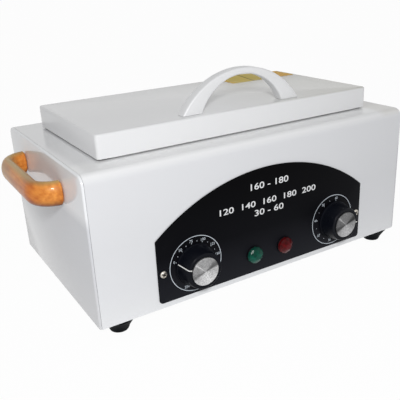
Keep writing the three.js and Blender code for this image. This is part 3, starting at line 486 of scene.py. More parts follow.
# Painted reflection: the upward faces darker and warmer past the right end of the lid.
shifted(wrap_enamel, along_x, [
    (0.150, all_even),
    (0.160, (0.89, 0.875, 0.84)),
    (0.182, (0.89, 0.875, 0.84)),
], upward_only=1.0)
wrap = cuboid("case_wrap", wrap_low, wrap_high)
with editing(wrap):
    opened(wrap, lambda middle, normal: normal.z < -0.5 or abs(normal.x) > 0.5)
    rounded(wrap, bend, 10, lambda middle, way: abs(way.x) > 0.9 and middle.z > wrap_high.z - bend)
walled(wrap, sheet)
tank_low, tank_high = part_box("tank_insulation")
cut(wrap, cuboid("mouth_cutter", tank_low + mouth_margin, tank_high - mouth_margin + Vector((0, 0, 2 * bend))))
inlet_low, inlet_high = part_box("power_inlet")
cut(wrap, cuboid("inlet_cutter", inlet_low + inlet_margin, inlet_high - inlet_margin))
for node in ["green_lamp_body", "red_lamp_body", "thermostat_shaft", "timer_shaft"]:
    cut(wrap, rod("hole_cutter", box_middle(node, y=wrap_low.y), wrap_hole, 2 * cut_margin))
dressed(wrap, wrap_enamel, "case", "enamel", "outer_wrap")


# End panels: pressed pans of the same enamelled sheet, one at each end. Their rolled rim stands
# against the wrap's edge and leaves the fine seam that runs up the front and along the top.
rim_depth = 0.0021
rim_edge = 0.0017
foot_corner = 0.0016
end_enamel = baked_enamel("end_enamel", 0.08, 0.62)
# Painted light and shade: the end panels darker over their lower part and middle, and lighter near the top.
shifted(end_enamel, along_z, [
    (wrap_low.z, (0.90, 0.90, 0.91)),
    (wrap_low.z + 0.05, (0.82, 0.825, 0.845)),
    (wrap_low.z + 0.094, (0.80, 0.81, 0.84)),
    (wrap_low.z + 0.105, (1.06, 1.07, 1.08)),
])
for word, side in [("left", -1), ("right", 1)]:
    outside = side * panel_high.x
    inside = side * (panel_high.x - rim_depth)
    low = Vector((min(outside, inside), panel_low.y, panel_low.z))
    high = Vector((max(outside, inside), panel_high.y, panel_high.z))
    panel = cuboid(word + "_end_pan", low, high)
    with editing(panel):
        rounded(panel, bend, 10, lambda middle, way: abs(way.x) > 0.9 and middle.z > high.z - bend)
        rounded(panel, foot_corner, 4, lambda middle, way: abs(way.x) > 0.9 and middle.z < low.z + foot_corner)
        rounded(panel, rim_edge, 5, lambda middle, way: abs(way.x) < 0.1 and abs(middle.x - outside) < near)
        opened(panel, lambda middle, normal: abs(middle.x - inside) < near)
    walled(panel, sheet)
    dressed(panel, end_enamel, "case", "enamel", word + "_end_panel")


# Lid shell: a folded pan of enamelled sheet with ground corner welds and softly rolled top edges.
# It hangs on two rear hinges and lies on the tank's rim with its seal.
lid_low, lid_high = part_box("lid_shell")
lid_corner = 0.0034
lid_edge = 0.002
lid_sheet = 0.0012
lid_enamel = baked_enamel("lid_enamel", specular=0.27)
# Painted shade: the lid's top darker and warmer towards its right end.
shifted(lid_enamel, along_x, [
    (-0.02, all_even),
    (0.07, (0.86, 0.855, 0.82)),
    (0.15, (0.75, 0.74, 0.67)),
], upward_only=1.0)
lid = cuboid("lid_pan", lid_low, lid_high)
with editing(lid):
    rounded(lid, lid_corner, 6, upright)
    rounded(lid, lid_edge, 5, lambda middle, way: abs(way.z) < 0.1 and middle.z > lid_high.z - near)
    opened(lid, lambda middle, normal: normal.z < -0.9)
walled(lid, lid_sheet)
dressed(lid, lid_enamel, "lid", "enamel", "lid_shell")


# Lid handle: one arch between two arcs, moulded in white plastic with softly rounded edges. Its feet
# stand near the lid's front edge, on two screws put in from under the lid.
arch_low, arch_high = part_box("lid_handle")
arch_inner_half = 0.0462
arch_inner_rise = 0.0306
arch_edge = 0.0017
arch_depth = arch_high.y - arch_low.y


def arc_radius(half_span, rise):
    """Radius of the circle through both ends and the top of an arc."""
    return (half_span**2 + rise**2) / (2 * rise)


outer_radius = arc_radius(arch_high.x, arch_high.z - arch_low.z)
inner_radius = arc_radius(arch_inner_half, arch_inner_rise)
outer_middle = box_middle("lid_handle", x=0, z=arch_high.z - outer_radius)
inner_middle = box_middle("lid_handle", x=0, z=arch_low.z + arch_inner_rise - inner_radius)
arch = rod("lid_arch", outer_middle, outer_radius, arch_depth, sides=160)
cut(arch, rod("arch_cutter", inner_middle, inner_radius, 2 * arch_depth, sides=120))
with editing(arch):
    bpy.ops.mesh.select_all(action="SELECT")
    bpy.ops.mesh.bisect(plane_co=(0, 0, arch_low.z), plane_no=(0, 0, 1), use_fill=True, clear_inner=True)
    rounded(
        arch, arch_edge, 5,
        lambda middle, way: abs(way.y) < 0.1
        and middle.z > arch_low.z + near
        and min(abs(middle.y - arch_low.y), abs(middle.y - arch_high.y)) < near,
    )
white_plastic = grained("white_plastic", (0.78, 0.785, 0.795), 0.34, variation=0.02, patches=30.0, grain=1500.0)
dressed(arch, white_plastic, "lid", "handle_plastic", "lid_handle")


# Side handles: hardwood grips sawn from a plank, rounded to an oval section and coated with clear
# varnish. Each is held by two screws from inside the end panel.
grip_thickness = 0.0144
grip_height = 0.0227
grip_corner = 0.019
grip_foot_edge = 0.0035
grip_waves = 0.0004
sapwood_and_sheen_tan = (0.41, 0.325, 0.12, 1)
wood, tree, shader = new_finish("varnished_wood")
place = wired(tree, "TexCoord").outputs


def wood_figure(stretch, detail, stops):
    """Colours that run along the plank in streaks."""
    along = wired(tree, "Mapping", {"Vector": place["Object"], "Scale": stretch})
    return ramped(tree, wired(tree, "TexNoise", {"Vector": along, "Scale": 1.0, "Detail": detail}), stops)


fibres = wood_figure((260, 16, 260), 4, [(0.25, (0.55, 0.145, 0.014)), (0.75, (0.84, 0.34, 0.06))])
smudges = wood_figure((60, 22, 60), 3, [(0.3, (0.66, 0.52, 0.42)), (0.5, all_even)])
figured = blended(tree, 1.0, fibres, smudges, "MULTIPLY")
spot = wired(tree, "SeparateXYZ", {0: place["Object"]}).outputs
way = wired(tree, "SeparateXYZ", {0: place["Normal"]}).outputs
# Painted light in the wood's colour: the pale tan is sapwood on the rear outer side and a painted sheen on every
# upward face, and faces that turn down darken into painted shade.
outer_side = spanned(tree, maths(tree, "ABSOLUTE", spot["X"]), 0.192, 0.202)
rear_half = spanned(tree, spot["Y"], 0.0, 0.07, 0.0, 0.7)
top_sheen_share = spanned(tree, way["Z"], 0.55, 0.95, 0.0, 0.75)
paler = maths(tree, "MAXIMUM", maths(tree, "MULTIPLY", outer_side, rear_half), top_sheen_share)
sapwood_and_top_sheen = blended(tree, paler, figured, sapwood_and_sheen_tan)
painted_underside_shade = ramped(tree, spanned(tree, way["Z"], -0.9, -0.2), [(0.0, (0.12, 0.06, 0.04)), (1.0, all_even)])
fed(tree, shader.inputs["Base Color"], blended(tree, 1.0, sapwood_and_top_sheen, painted_underside_shade, "MULTIPLY"))
shifted(wood, along_y, [
    (-0.046, all_even),
    (-0.037, (0.86, 0.66, 0.5)),
    (-0.026, (0.9, 0.76, 0.65)),
    (-0.01, all_even),
    (0.058, all_even),
    (0.068, (0.92, 0.72, 0.55)),
])
set_sockets(shader, Roughness=0.4, Specular_IOR_Level=0.25, Coat_Weight=0.22, Coat_Roughness=0.1)
waves = wired(tree, "TexNoise", {"Vector": place["Object"], "Scale": 120.0, "Detail": 2})
relief = wired(tree, "Bump", {"Distance": grip_waves, "Strength": 0.5, "Height": waves})
fed(tree, shader.inputs["Normal"], relief)


def disc(name, sides, radius, middle, turn=(0, 0, 0)):
    """A filled ring of edges, the end that a drawn or turned piece starts from."""
    return started(
        name, bpy.ops.mesh.primitive_circle_add,
        vertices=sides, radius=radius, fill_type="NGON", location=middle, rotation=turn,
    )


def drawn(step):
    """In edit mode, draws what is selected out by a step."""
    bpy.ops.mesh.extrude_region_move(TRANSFORM_OT_translate={"value": step})


def drawn_bow(root, out, along, corner, steps):
    """In edit mode, draws the selected end face out from its root, round, along, round and back."""
    bpy.ops.mesh.select_mode(type="FACE")
    bpy.ops.mesh.select_all(action="SELECT")
    out_way, along_way = out.normalized(), along.normalized()
    turn_axis = along_way.cross(out_way)
    first_bend = root + out + corner * (along_way - out_way)
    last_bend = root + out + along - corner * (along_way + out_way)
    drawn(out - corner * out_way)
    bpy.ops.mesh.spin(steps=steps, angle=math.pi / 2, center=first_bend, axis=turn_axis)
    drawn(along - 2 * corner * along_way)
    bpy.ops.mesh.spin(steps=steps, angle=math.pi / 2, center=last_bend, axis=turn_axis)
    drawn(corner * out_way - out)
    bpy.ops.mesh.select_all(action="SELECT")
    bpy.ops.mesh.remove_doubles(threshold=0.00001)
    bpy.ops.mesh.normals_make_consistent(inside=False)


for word, side in [("left", -1), ("right", 1)]:
    low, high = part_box(word + "_handle")
    root_x, tip_x = (high.x, low.x) if side < 0 else (low.x, high.x)
    half = grip_thickness / 2
    root = box_middle(word + "_handle", x=root_x, y=low.y + half)
    grip = disc(word + "_wooden_grip", 36, 0.5, root, (0, side * math.pi / 2, 0))
    bpy.ops.object.transform_apply(location=False, rotation=True, scale=False)
    grip.scale = (1, grip_thickness, grip_height)
    settled(grip)
    with editing(grip):
        out = Vector((tip_x - side * half - root_x, 0, 0))
        drawn_bow(root, out, Vector((0, high.y - low.y - grip_thickness, 0)), grip_corner, 12)
        rounded(grip, grip_foot_edge, 5, lambda middle, way: abs(middle.x - root_x) < near and abs(way.x) < 0.1)
    dressed(grip, wood, "case", "varnished_wood", word + "_handle")


# Fascia plate: a thin steel plate with an arched top, painted satin black and screwed to the case
# front at both sides. The shafts of the two controls come through it.
fascia_side_height = 0.062
fascia_corner = 0.0035
fascia_edge = 0.00025
fascia_hole = 0.0058
fascia_low, fascia_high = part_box("fascia_plate")
fascia_black = grained(
    "fascia_black", (0.008, 0.008, 0.0105), 0.5, variation=0.1, spread=0.1, patches=22.0, grain=1500.0,
    specular=0.04,
)
# Painted reflection: the black plate lighter towards its bottom edge and darker towards its arched top.
shifted(fascia_black, along_z, [
    (fascia_low.z, (1.75, 1.85, 1.8)),
    (fascia_low.z + 0.02, (1.3, 1.35, 1.35)),
    (fascia_low.z + 0.045, (0.4, 0.42, 0.45)),
    (fascia_high.z, (0.1, 0.1, 0.1)),
])
fascia_radius = arc_radius(fascia_high.x, fascia_high.z - fascia_low.z - fascia_side_height)
plate = cuboid("arched_fascia", fascia_low, fascia_high)
cut(plate, rod(
    "arch_tool", box_middle("fascia_plate", z=fascia_high.z - fascia_radius), fascia_radius,
    10 * (fascia_high.y - fascia_low.y), sides=512,
), "INTERSECT")
with editing(plate):
    rounded(plate, fascia_corner, 8, lambda middle, way: abs(way.y) > 0.9 and middle.z < fascia_low.z + near)
    rounded(plate, fascia_edge, 2, lambda middle, way: middle.y < fascia_low.y + near and abs(way.y) < 0.1)
for node in ["thermostat_shaft", "timer_shaft"]:
    low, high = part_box(node)
    cut(plate, rod("hole_cutter", (low + high) / 2, fascia_hole, high.y - low.y))
dressed(plate, fascia_black, "case", "fascia_black", "fascia_plate")


# Knobs: moulded black phenolic, each a low round skirt under a steep cone with a flat top. A white line
# is filled into it from the skirt to the cap. They push onto the shafts of thermostat and timer.
knob_rim = 0.0024
knob_cone_top = 0.0170
knob_cone_top_radius = 0.0174
knob_top_radius = 0.0169
knob_seat_gap = 0.0003
knob_seat_depth = 0.0014
knob_bore, knob_bore_length = 0.0032, 0.024
line_start = 0.0012
line_inner_end = 0.004
line_width = 0.0009
line_proud = 0.00008
seat_sides = 72


def turned(name, middle, axis, profile, sides=seat_sides):
    """A solid turned about an axis from rings of (radius, height), each ring drawn out of the last one."""
    turns = {
        "front": (math.pi / 2, 0, 0),
        "rear": (-math.pi / 2, 0, 0),
        "up": (0, 0, 0),
        "left": (0, -math.pi / 2, 0),
    }
    radius, level = profile[0]
    made = settled(disc(name, sides, radius, (0, 0, level)))
    with editing(made):
        bpy.ops.mesh.select_mode(type="FACE")
        bpy.ops.mesh.select_all(action="SELECT")
        for next_radius, next_level in profile[1:]:
            drawn((0, 0, next_level - level))
            factor = next_radius / radius
            bpy.ops.transform.resize(value=(factor, factor, 1), center_override=(0, 0, next_level))
            radius, level = next_radius, next_level
        bpy.ops.mesh.select_all(action="SELECT")
        bpy.ops.mesh.normals_make_consistent(inside=False)
    made.rotation_euler = turns[axis]
    made.location = middle
    return settled(made)


def spun_round(obj, angle, middle):
    """Turns a piece about the front axis by an angle in degrees, and moves it to its middle."""
    obj.rotation_euler = (0, -math.radians(angle), 0)
    obj.location = middle
    return settled(obj)


knob_black = grained(
    "knob_black", (0.0036, 0.0044, 0.0075), 0.3, variation=0.3, spread=0.16, patches=110.0, specular=0.09
)
line_white = grained("knob_line_white", (0.8, 0.8, 0.78), 0.4, variation=0.05)
knob_backs = {}
for control, angle in [("thermostat", 162), ("timer", -4)]:
    low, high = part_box(control + "_knob")
    cap_low, cap_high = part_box(control + "_knob_cap")
    rim = (high.x - low.x) / 2
    tall = high.y - low.y
    seat = (cap_high.x - cap_low.x) / 2 + knob_seat_gap
    back = box_middle(control + "_knob", y=high.y)
    knob_backs[control] = back
    side_profile = [
        (rim - 0.0004, 0),
        (rim, 0.0004),
        (rim, knob_rim - 0.0005),
        (rim - 0.0002, knob_rim - 0.0001),
        (rim - 0.0007, knob_rim + 0.0001),
        (knob_cone_top_radius, knob_cone_top),
        (knob_cone_top_radius - 0.0001, tall - 0.0003),
        (knob_top_radius, tall),
        (seat, tall),
    ]
    seat_profile = [(seat, tall - knob_seat_depth), (0.001, tall - knob_seat_depth)]
    knob = turned(control + "_knob_body", back, "front", side_profile + seat_profile)
    cut(knob, rod("bore_cutter", back, knob_bore, knob_bore_length))
    grown = [(radius + line_proud, level + line_proud) for radius, level in side_profile[4:]]
    line = turned(control + "_knob_line", back, "front", [(rim, line_start)] + grown)
    slab = cuboid("line_slab", (line_inner_end, -2 * tall, -line_width / 2), (2 * rim, 0, line_width / 2))
    cut(line, spun_round(slab, angle, back), "INTERSECT")
    cut(line, rod("seat_cutter", back, seat, 4 * tall, sides=seat_sides))
    dressed(knob, knob_black, control + "_control", "knob_black", control + "_knob")
    dressed(line, line_white, control + "_control", "knob_black")


# Knob caps: thin discs spun from bright aluminium and glued into the knob tops. The light and dark wedges
# that fine turning lines show are painted highlights and painted shade in their colour, fixed round the middle.
cap_edge = 0.0007
turning_depth = 0.00001
# Painted light: how bright and how contrasty the painted wedges are on each cap, and the wedges by share of a
# turn.
cap_painted_light_levels = {"thermostat": (1.03, 0.95), "timer": (0.86, 1.45)}
painted_wedge_stops = [
    (0.0, 0.22), (0.05, 0.14), (0.09, 0.48), (0.2, 0.6), (0.3, 0.64), (0.42, 0.52), (0.52, 0.4),
    (0.55, 0.1), (0.59, 0.13), (0.64, 0.3), (0.75, 0.34), (0.86, 0.32), (0.88, 0.6), (0.9, 0.3), (0.96, 0.26),
]


def painted_light_wedges():
    """Colour and gloss of a turned disc, with painted highlight and shade wedges round an axis along Y through
    Middle.
    """
    group, given = empty_group(
        "painted_light_wedges", [("Middle", "Vector", (0, 0, 0)), ("Level", "Float", 1.0), ("Contrast", "Float", 1.0)],
        grain_outputs,
    )
    place = wired(group, "TexCoord").outputs["Object"]
    arm = wired(group, "VectorMath", {0: place, 1: given["Middle"]}, operation="SUBTRACT")
    split = wired(group, "SeparateXYZ", {0: arm}).outputs
    share = spanned(group, maths(group, "ARCTAN2", split["Z"], split["X"]), -math.pi, math.pi)
    painted_wedges = ramped(group, share, [(position, (value, value, value * 1.01)) for position, value in painted_wedge_stops])
    deeper = wired(group, "Gamma", {"Color": painted_wedges, "Gamma": given["Contrast"]})
    pits = wired(group, "TexNoise", {"Vector": place, "Scale": 1100, "Detail": 1})
    bright = maths(group, "MULTIPLY", spanned(group, pits, 0.3, 0.7, 0.72, 1.28), given["Level"])
    lit = scaled(group, deeper, bright)
    flat = wired(group, "CombineXYZ", {"X": split["X"], "Y": split["Z"]})
    reach = wired(group, "VectorMath", {0: flat}, operation="LENGTH")
    rings = wired(group, "TexNoise", {"Scale": 5200, "W": reach}, noise_dimensions="1D")
    put_out(group, Colour=lit, Roughness=spanned(group, rings, 0.0, 1.0, 0.3, 0.42), Height=rings)
    return group


painted_wedges = painted_light_wedges()
for control, back in knob_backs.items():
    low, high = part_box(control + "_knob_cap")
    reach = (high.x - low.x) / 2
    thick = high.y - low.y
    cap = turned(control + "_spun_cap", Vector((back.x, high.y, back.z)), "front", [
        (reach - 0.0003, 0),
        (reach, 0.0003),
        (reach, thick - cap_edge),
        (reach - cap_edge * 0.3, thick - cap_edge * 0.3),
        (reach - cap_edge, thick),
        (reach - 3 * cap_edge, thick - 0.0001),
    ])
    spun, tree, shader = new_finish(control + "_spun_aluminium")
    level, contrast = cap_painted_light_levels[control]
    effect = wired(tree, "Group", {"Middle": back, "Level": level, "Contrast": contrast}, node_tree=painted_wedges)
    surfaced(tree, shader, effect, turning_depth)
    set_sockets(shader, Metallic=1.0)
    dressed(cap, spun, control + "_control", "knob_cap", control + "_knob_cap")


# Pilot lamps: a black moulded holder clipped into the plate, and a domed lens cut into flat facets,
# green on the left and red on the right. They aren't lit in the rest state.
holder_edge = 0.0004
holder_wall = 0.0012
holder_step = 0.0006
holder_barrel = 0.0062
lens_gap = 0.0003
lens_sides = {"green": 12, "red": 14}
lens_painted_light_tints = {"green": (2.4, 1.1, 1.2), "red": (1.05, 3.2, 2.6)}
lens_dyes_and_rim_sheen = {
    "green": [(0.001, 0.10, 0.06), (0.03, 0.12, 0.095), (0.0005, 0.045, 0.03)],
    "red": [(0.12, 0.002, 0.004), (0.12, 0.02, 0.025), (0.05, 0.001, 0.001)],
}
holder_black = grained("lamp_holder_black", (0.002, 0.002, 0.003), 0.5, variation=0.08, specular=0.05)


def lens_plastic(name, deep, rim_sheen, dark):
    """Dyed clear plastic: deep in the middle, with a dark facet here and there, and a painted sheen paler
    towards the rim.
    """
    def change(tree, colour):
        """The present colour, with darker facets and a painted sheen at the rim."""
        place = wired(tree, "TexCoord").outputs["Object"]
        facets = wired(tree, "TexVoronoi", {"Vector": place, "Scale": 260.0}).outputs["Distance"]
        core = blended(tree, spanned(tree, facets, 0.15, 0.75), (*dark, 1), colour)
        rim_sheen_share = wired(tree, "LayerWeight", {"Blend": 0.35}).outputs["Facing"]
        return blended(tree, rim_sheen_share, core, (*rim_sheen, 1))

    material = grained(name, deep, 0.14, variation=0.2, spread=0.03, patches=160.0, specular=0.1)
    recoloured(material, change)
    return material


lamp_z = box_middle("red_lamp_body").z
for colour, tint in lens_painted_light_tints.items():
    finish = lens_plastic("lens_" + colour, *lens_dyes_and_rim_sheen[colour])
    # Painted light: each lens paler and greyer towards its bottom and darker towards its top.
    shifted(finish, along_z, [
        (lamp_z - 0.006, tint),
        (lamp_z - 0.001, [(1 + value) / 2 for value in tint]),
        (lamp_z + 0.002, (0.9, 0.85, 0.85)),
        (lamp_z + 0.006, (0.65, 0.6, 0.6)),
    ])
    low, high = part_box(colour + "_lamp_body")
    rim = (high.x - low.x) / 2
    middle = box_middle(colour + "_lamp_body", y=fascia_low.y)
    lip = fascia_low.y - low.y
    holder = turned(colour + "_lamp_holder", middle, "front", [
        (holder_barrel, -(high.y - fascia_low.y)),
        (holder_barrel, 0),
        (rim, 0),
        (rim, lip - holder_edge),
        (rim - holder_edge, lip),
        (rim - holder_wall, lip),
        (rim - holder_wall, lip - holder_step),
        (0.001, lip - holder_step),
    ], sides=48)
    base = rim - lens_gap
    rise = fascia_low.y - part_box(colour + "_lamp_lens")[0].y
    lens = turned(colour + "_lamp_dome", middle, "front", [
        (base, lip + 0.00005),
        (base, lip + 0.0008),
        (base * 0.96, lip + (rise - lip) * 0.40),
        (base * 0.82, lip + (rise - lip) * 0.58),
        (base * 0.38, rise - 0.0001),
        (base * 0.32, rise),
    ], lens_sides[colour])
    dressed(holder, holder_black, "case", "lamp_holder", colour + "_lamp_body")
    dressed(lens, finish, "case", "lamp_" + colour, colour + "_lamp_lens")
    only(lens)
    bpy.ops.object.shade_flat()


# Screws in the plate: pan heads with a cross recess, nickel plated and a little warm. They go through
# the plate into the case front at mid height of its straight sides.
recess_half = Vector((0.0024, 0.0014, 0.0007))
recess_tilts = [-25, -115]
recess_shade_depth = 0.0008
screw_shank = 0.0016
recess_shade_brown = (0.03, 0.025, 0.022, 1)
screw_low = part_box("fascia_screw_right")[0]
screw_steel = grained(
    "nickel_screw", (0.62, 0.58, 0.52), 0.3, variation=0.12, spread=0.12, patches=220.0, grain=2500.0,
    metallic=1.0,
)


def recess_shaded(tree, colour):
    """Paints shade into the recess of both plate screws, darkening it."""
    spot = wired(tree, "SeparateXYZ", {0: wired(tree, "TexCoord").outputs["Object"]}).outputs
    flat = wired(tree, "CombineXYZ", {"X": maths(tree, "ABSOLUTE", spot["X"]), "Z": spot["Z"]})
    axis = box_middle("fascia_screw_right", y=0)
    from_axis = wired(tree, "VectorMath", {0: flat, 1: axis}, operation="DISTANCE")
    within = spanned(tree, from_axis, recess_half.x, recess_half.x - 0.0001)
    below = spanned(tree, spot["Y"], screw_low.y + recess_shade_depth - 0.0002, screw_low.y + recess_shade_depth)
    return blended(tree, maths(tree, "MULTIPLY", within, below), colour, recess_shade_brown)


# Painted shade in the cross recesses of the two plate screws.
recoloured(screw_steel, recess_shaded)
for word in ["left", "right"]:
    low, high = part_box("fascia_screw_" + word)
    reach = (high.x - low.x) / 2
    head = fascia_low.y - low.y
    screw = turned("plate_screw_" + word, box_middle("fascia_screw_" + word, y=fascia_low.y), "front", [
        (screw_shank, -(high.y - fascia_low.y)),
        (screw_shank, -0.0001),
        (reach, 0),
        (reach, head * 0.3),
        (reach * 0.93, head * 0.62),
        (reach * 0.72, head * 0.88),
        (reach * 0.4, head),
    ], sides=32)
    for tilt in recess_tilts:
        slot = cuboid("recess_cutter", -recess_half, recess_half)
        cut(screw, spun_round(slot, tilt, box_middle("fascia_screw_" + word, y=low.y)))
    dressed(screw, screw_steel, "case", "fastener_steel", "fascia_screw_" + word)


# Feet: four moulded black rubber bumpers, wide at the top and drawn in to a small flat ring at the
# bottom. A screw in a recess of each holds it to the base plate.
foot_waist = 0.0098
foot_waist_height = 0.0035
foot_flat = 0.0087
foot_recess = 0.0043
foot_flare = 0.0014
foot_recess_depth = 0.006
foot_bore = 0.0023
foot_black = grained(
    "foot_rubber", (0.003, 0.0038, 0.005), 0.62, variation=0.25, spread=0.12, patches=90.0, grain=1400.0,
    height=0.00004, specular=0.05,
)
for corner in ["front_left", "front_right", "rear_left", "rear_right"]:
    low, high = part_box(corner + "_foot")
    wide = (high.x - low.x) / 2 + foot_flare
    tall = high.z - low.z
    foot = turned(corner + "_bumper", box_middle(corner + "_foot", z=0), "up", [
        (foot_bore, foot_recess_depth),
        (foot_recess, foot_recess_depth),
        (foot_recess, 0.0003),
        (foot_recess + 0.0003, 0),
        (foot_flat - 0.0004, 0),
        (foot_flat, 0.0004),
        (foot_waist - 0.0002, foot_waist_height - 0.0009),
        (foot_waist + 0.0002, foot_waist_height + 0.0005),
        (wide - 0.0006, tall - 0.0016),
        (wide, tall - 0.0011),
        (wide, tall - 0.0002),
        (wide - 0.0003, tall),
        (foot_bore, tall),
    ], sides=64)
    cut(foot, rod("bore_cutter", box_middle(corner + "_foot", z=tall / 2), foot_bore, 2 * tall, "Z"))
    dressed(foot, foot_black, "case", "foot_rubber", corner + "_foot")


# Dial printing: white screen print on the plate, a ring and a scale round each knob. Temperature is
# on the left, minutes on the right, and the line of the knob points at 0 on both.
ring_radius = 0.0273
ring_width = 0.0006
ring_sides = 128
print_proud = 0.00005
dial_half_gap = 0.084
numbers_radius, numbers_height = 0.0236, 0.0026
long_tick = (0.0212, 0.0011, 0.0006)
short_tick = (0.0222, 0.0007, 0.0007)
temperature_scale = ["0", "50", "75", "100", "125", "150", "175", "200", "225", "250"]
minutes_scale = ["0", "10", "20", "30", "40", "50", "60"]
dial_print = grained("dial_print_blue_white", (0.62, 0.68, 0.74), 0.5, variation=0.2, patches=300.0)


def printed_figures(figures, x, z, height, width=None, weight=0.0):
    """Numbers in the plain built-in face, middle at x and z, as a thin mesh on the plate's front."""
    made = started("printed_figures", bpy.ops.object.text_add)
    made.data.body = figures
    made.data.align_x = "CENTER"
    made.data.align_y = "CENTER"
    made.data.size = 1.0
    made.data.offset = weight
    made.data.extrude = print_proud
    made.data.resolution_u = 4
    bpy.ops.object.convert(target="MESH")
    across, up = made.dimensions.x, made.dimensions.y
    made.scale = (width / across if width else height / up, height / up, 1)
    made.rotation_euler = (math.pi / 2, 0, 0)
    made.location = (x, fascia_low.y, z)
    return settled(made)


def printed_tick(middle, angle, radius, length, width):
    """A short printed stroke that points at the dial's middle."""
    half = Vector((length / 2, print_proud, width / 2))
    out = Vector((radius, 0, 0))
    stroke = cuboid("stroke", out - half, out + half)
    with editing(stroke):
        rounded(stroke, width * 0.3, 2, lambda middle, way: abs(way.y) > 0.9)
    return spun_round(stroke, angle, middle)


def joined(name, parts):
    """Joins separate bits of print into one piece."""
    only(parts[0])
    for part in parts[1:]:
        part.select_set(True)
    bpy.ops.object.join()
    parts[0].name = name
    return parts[0]


for name, dial_x, first, step, labels in [
    ("temperature_print", -dial_half_gap, 162.0, -31.0, temperature_scale),
    ("minutes_print", dial_half_gap, -4.0, -46.4, minutes_scale),
]:
    middle = Vector((dial_x, fascia_low.y, knob_backs["timer"].z))
    ring = rod("ring", middle, ring_radius + ring_width / 2, 2 * print_proud, sides=ring_sides)
    cut(ring, rod("ring_cutter", middle, ring_radius - ring_width / 2, 2 * cut_margin, sides=ring_sides))
    marks = [ring]
    for count, label in enumerate(labels):
        angle = first + step * count
        x = dial_x + numbers_radius * math.cos(math.radians(angle))
        z = middle.z + numbers_radius * math.sin(math.radians(angle))
        marks.append(printed_figures(label, x, z, numbers_height))
        marks.append(printed_tick(middle, angle, *long_tick))
        if count + 1 < len(labels):
            marks.append(printed_tick(middle, angle + step / 2, *short_tick))
    dressed(joined(name, marks), dial_print, "case", "fascia_black")


# Plate print: three centred lines of plain numbers above the dials, screen printed in white. They give
# the two working temperatures, the scale's main steps and the usual minutes.
line_middle_x = 0.0005
line_weight = 0.01
print_white = grained("screen_print_white", (0.78, 0.79, 0.8), 0.5, variation=0.08, patches=300.0)
plate_lines = [
    ("160 - 180", 0.109, 0.0066, 0.0451),
    ("120  140  160  180  200", 0.0918, 0.0062, 0.1158),
    ("30 - 60", 0.0818, 0.0064, 0.0350),
]
lines = [
    printed_figures(figures, line_middle_x, z, height, width, line_weight)
    for figures, z, height, width in plate_lines
]
dressed(joined("plate_print", lines), print_white, "case", "fascia_black")


# Lid label: a yellow foil sticker behind the handle. Its printed panel is a little duller than its border, a
# dark band of painted shade marks the crease by the curl, and its rear edge has come loose and curls up.
label_low_corner = Vector((0.062, 0.048, 0))
label_high_corner = Vector((0.152, 0.085, 0))
label_thick = Vector((0, 0, 0.00012))
label_corner = 0.003
label_strip = 0.004
label_curl_x = 0.096
label_curl = 0.0021
label_curl_reach = 0.034
label_print_and_crease_shade = [
    (0.0, all_even), (0.05, (0.9, 1.1, 2.4)), (0.31, (0.25, 0.28, 0.4)), (0.33, (0.85, 1.05, 2.0)),
    (0.66, (1.08, 0.93, 0.35)), (0.97, all_even),
]
label_gold = grained("label_yellow", (0.74, 0.46, 0.035), 0.4, variation=0.25, patches=55.0, specular=0.06)


def printed_with_crease_shade(tree, colour):
    """Prints the label's panel over its yellow, with a dark band of painted shade for the crease."""
    across = wired(tree, "Group", node_tree=place_share, feeds={
        "Axis": along_x, "From": label_low_corner.x, "To": label_high_corner.x,
    })
    return blended(tree, 1.0, colour, ramped(tree, across, label_print_and_crease_shade, "CONSTANT"), "MULTIPLY")


recoloured(label_gold, printed_with_crease_shade)
lid_top_level = Vector((0, 0, lid_high.z))
label = cuboid("lid_label", label_low_corner + lid_top_level, label_high_corner + lid_top_level + label_thick)
with editing(label):
    rounded(label, label_corner, 6, upright)
    for way in [Vector((1, 0, 0)), Vector((0, 1, 0))]:
        start, stop = way.dot(label_low_corner), way.dot(label_high_corner)
        while start + label_strip < stop:
            start += label_strip
            bpy.ops.mesh.select_all(action="SELECT")
            bpy.ops.mesh.bisect(plane_co=start * way, plane_no=way)
    bpy.ops.mesh.select_mode(type="VERT")
    bpy.ops.mesh.select_all(action="DESELECT")
    label_mesh = bmesh.from_edit_mesh(label.data)
    for vert in label_mesh.verts:
        if abs(vert.co.x - label_curl_x) < label_strip and vert.co.y > label_high_corner.y - label_strip / 2:
            vert.select_set(True)
    label_mesh.select_flush(True)
    bmesh.update_edit_mesh(label.data)
    bpy.ops.transform.translate(
        value=(0, 0, label_curl), use_proportional_edit=True, proportional_edit_falloff="SMOOTH",
        proportional_size=label_curl_reach,
    )
    bpy.ops.mesh.select_mode(type="FACE")
dressed(label, label_gold, "lid", "enamel")


# Chamber tank: a deep-drawn stainless tub with rounded corners. Its rim is drawn out flat over the
# case top, and the lid's seal closes on it.
drawn_sheet = 0.0008
tank_corner = 0.014
tank_floor_edge = 0.006
tank_jacket = Vector((0.015, 0.015, 0))
bright_steel = grained(
    "stainless", (0.60, 0.60, 0.605), 0.26, variation=0.08, spread=0.12, patches=14.0, grain=700.0,
    height=0.00001, metallic=1.0,
)


def tub(name, low, high, corner, floor_edge):
    """An open-topped tub as one surface, with rounded upright corners and a rounded floor edge."""
    made = cuboid(name, low, high)
    with editing(made):
        opened(made, lambda middle, normal: normal.z > 0.9)
        rounded(made, corner, 8, upright)
        rounded(made, floor_edge, 5, lambda middle, way: abs(way.z) < 0.1 and middle.z < low.z + near)
    return made


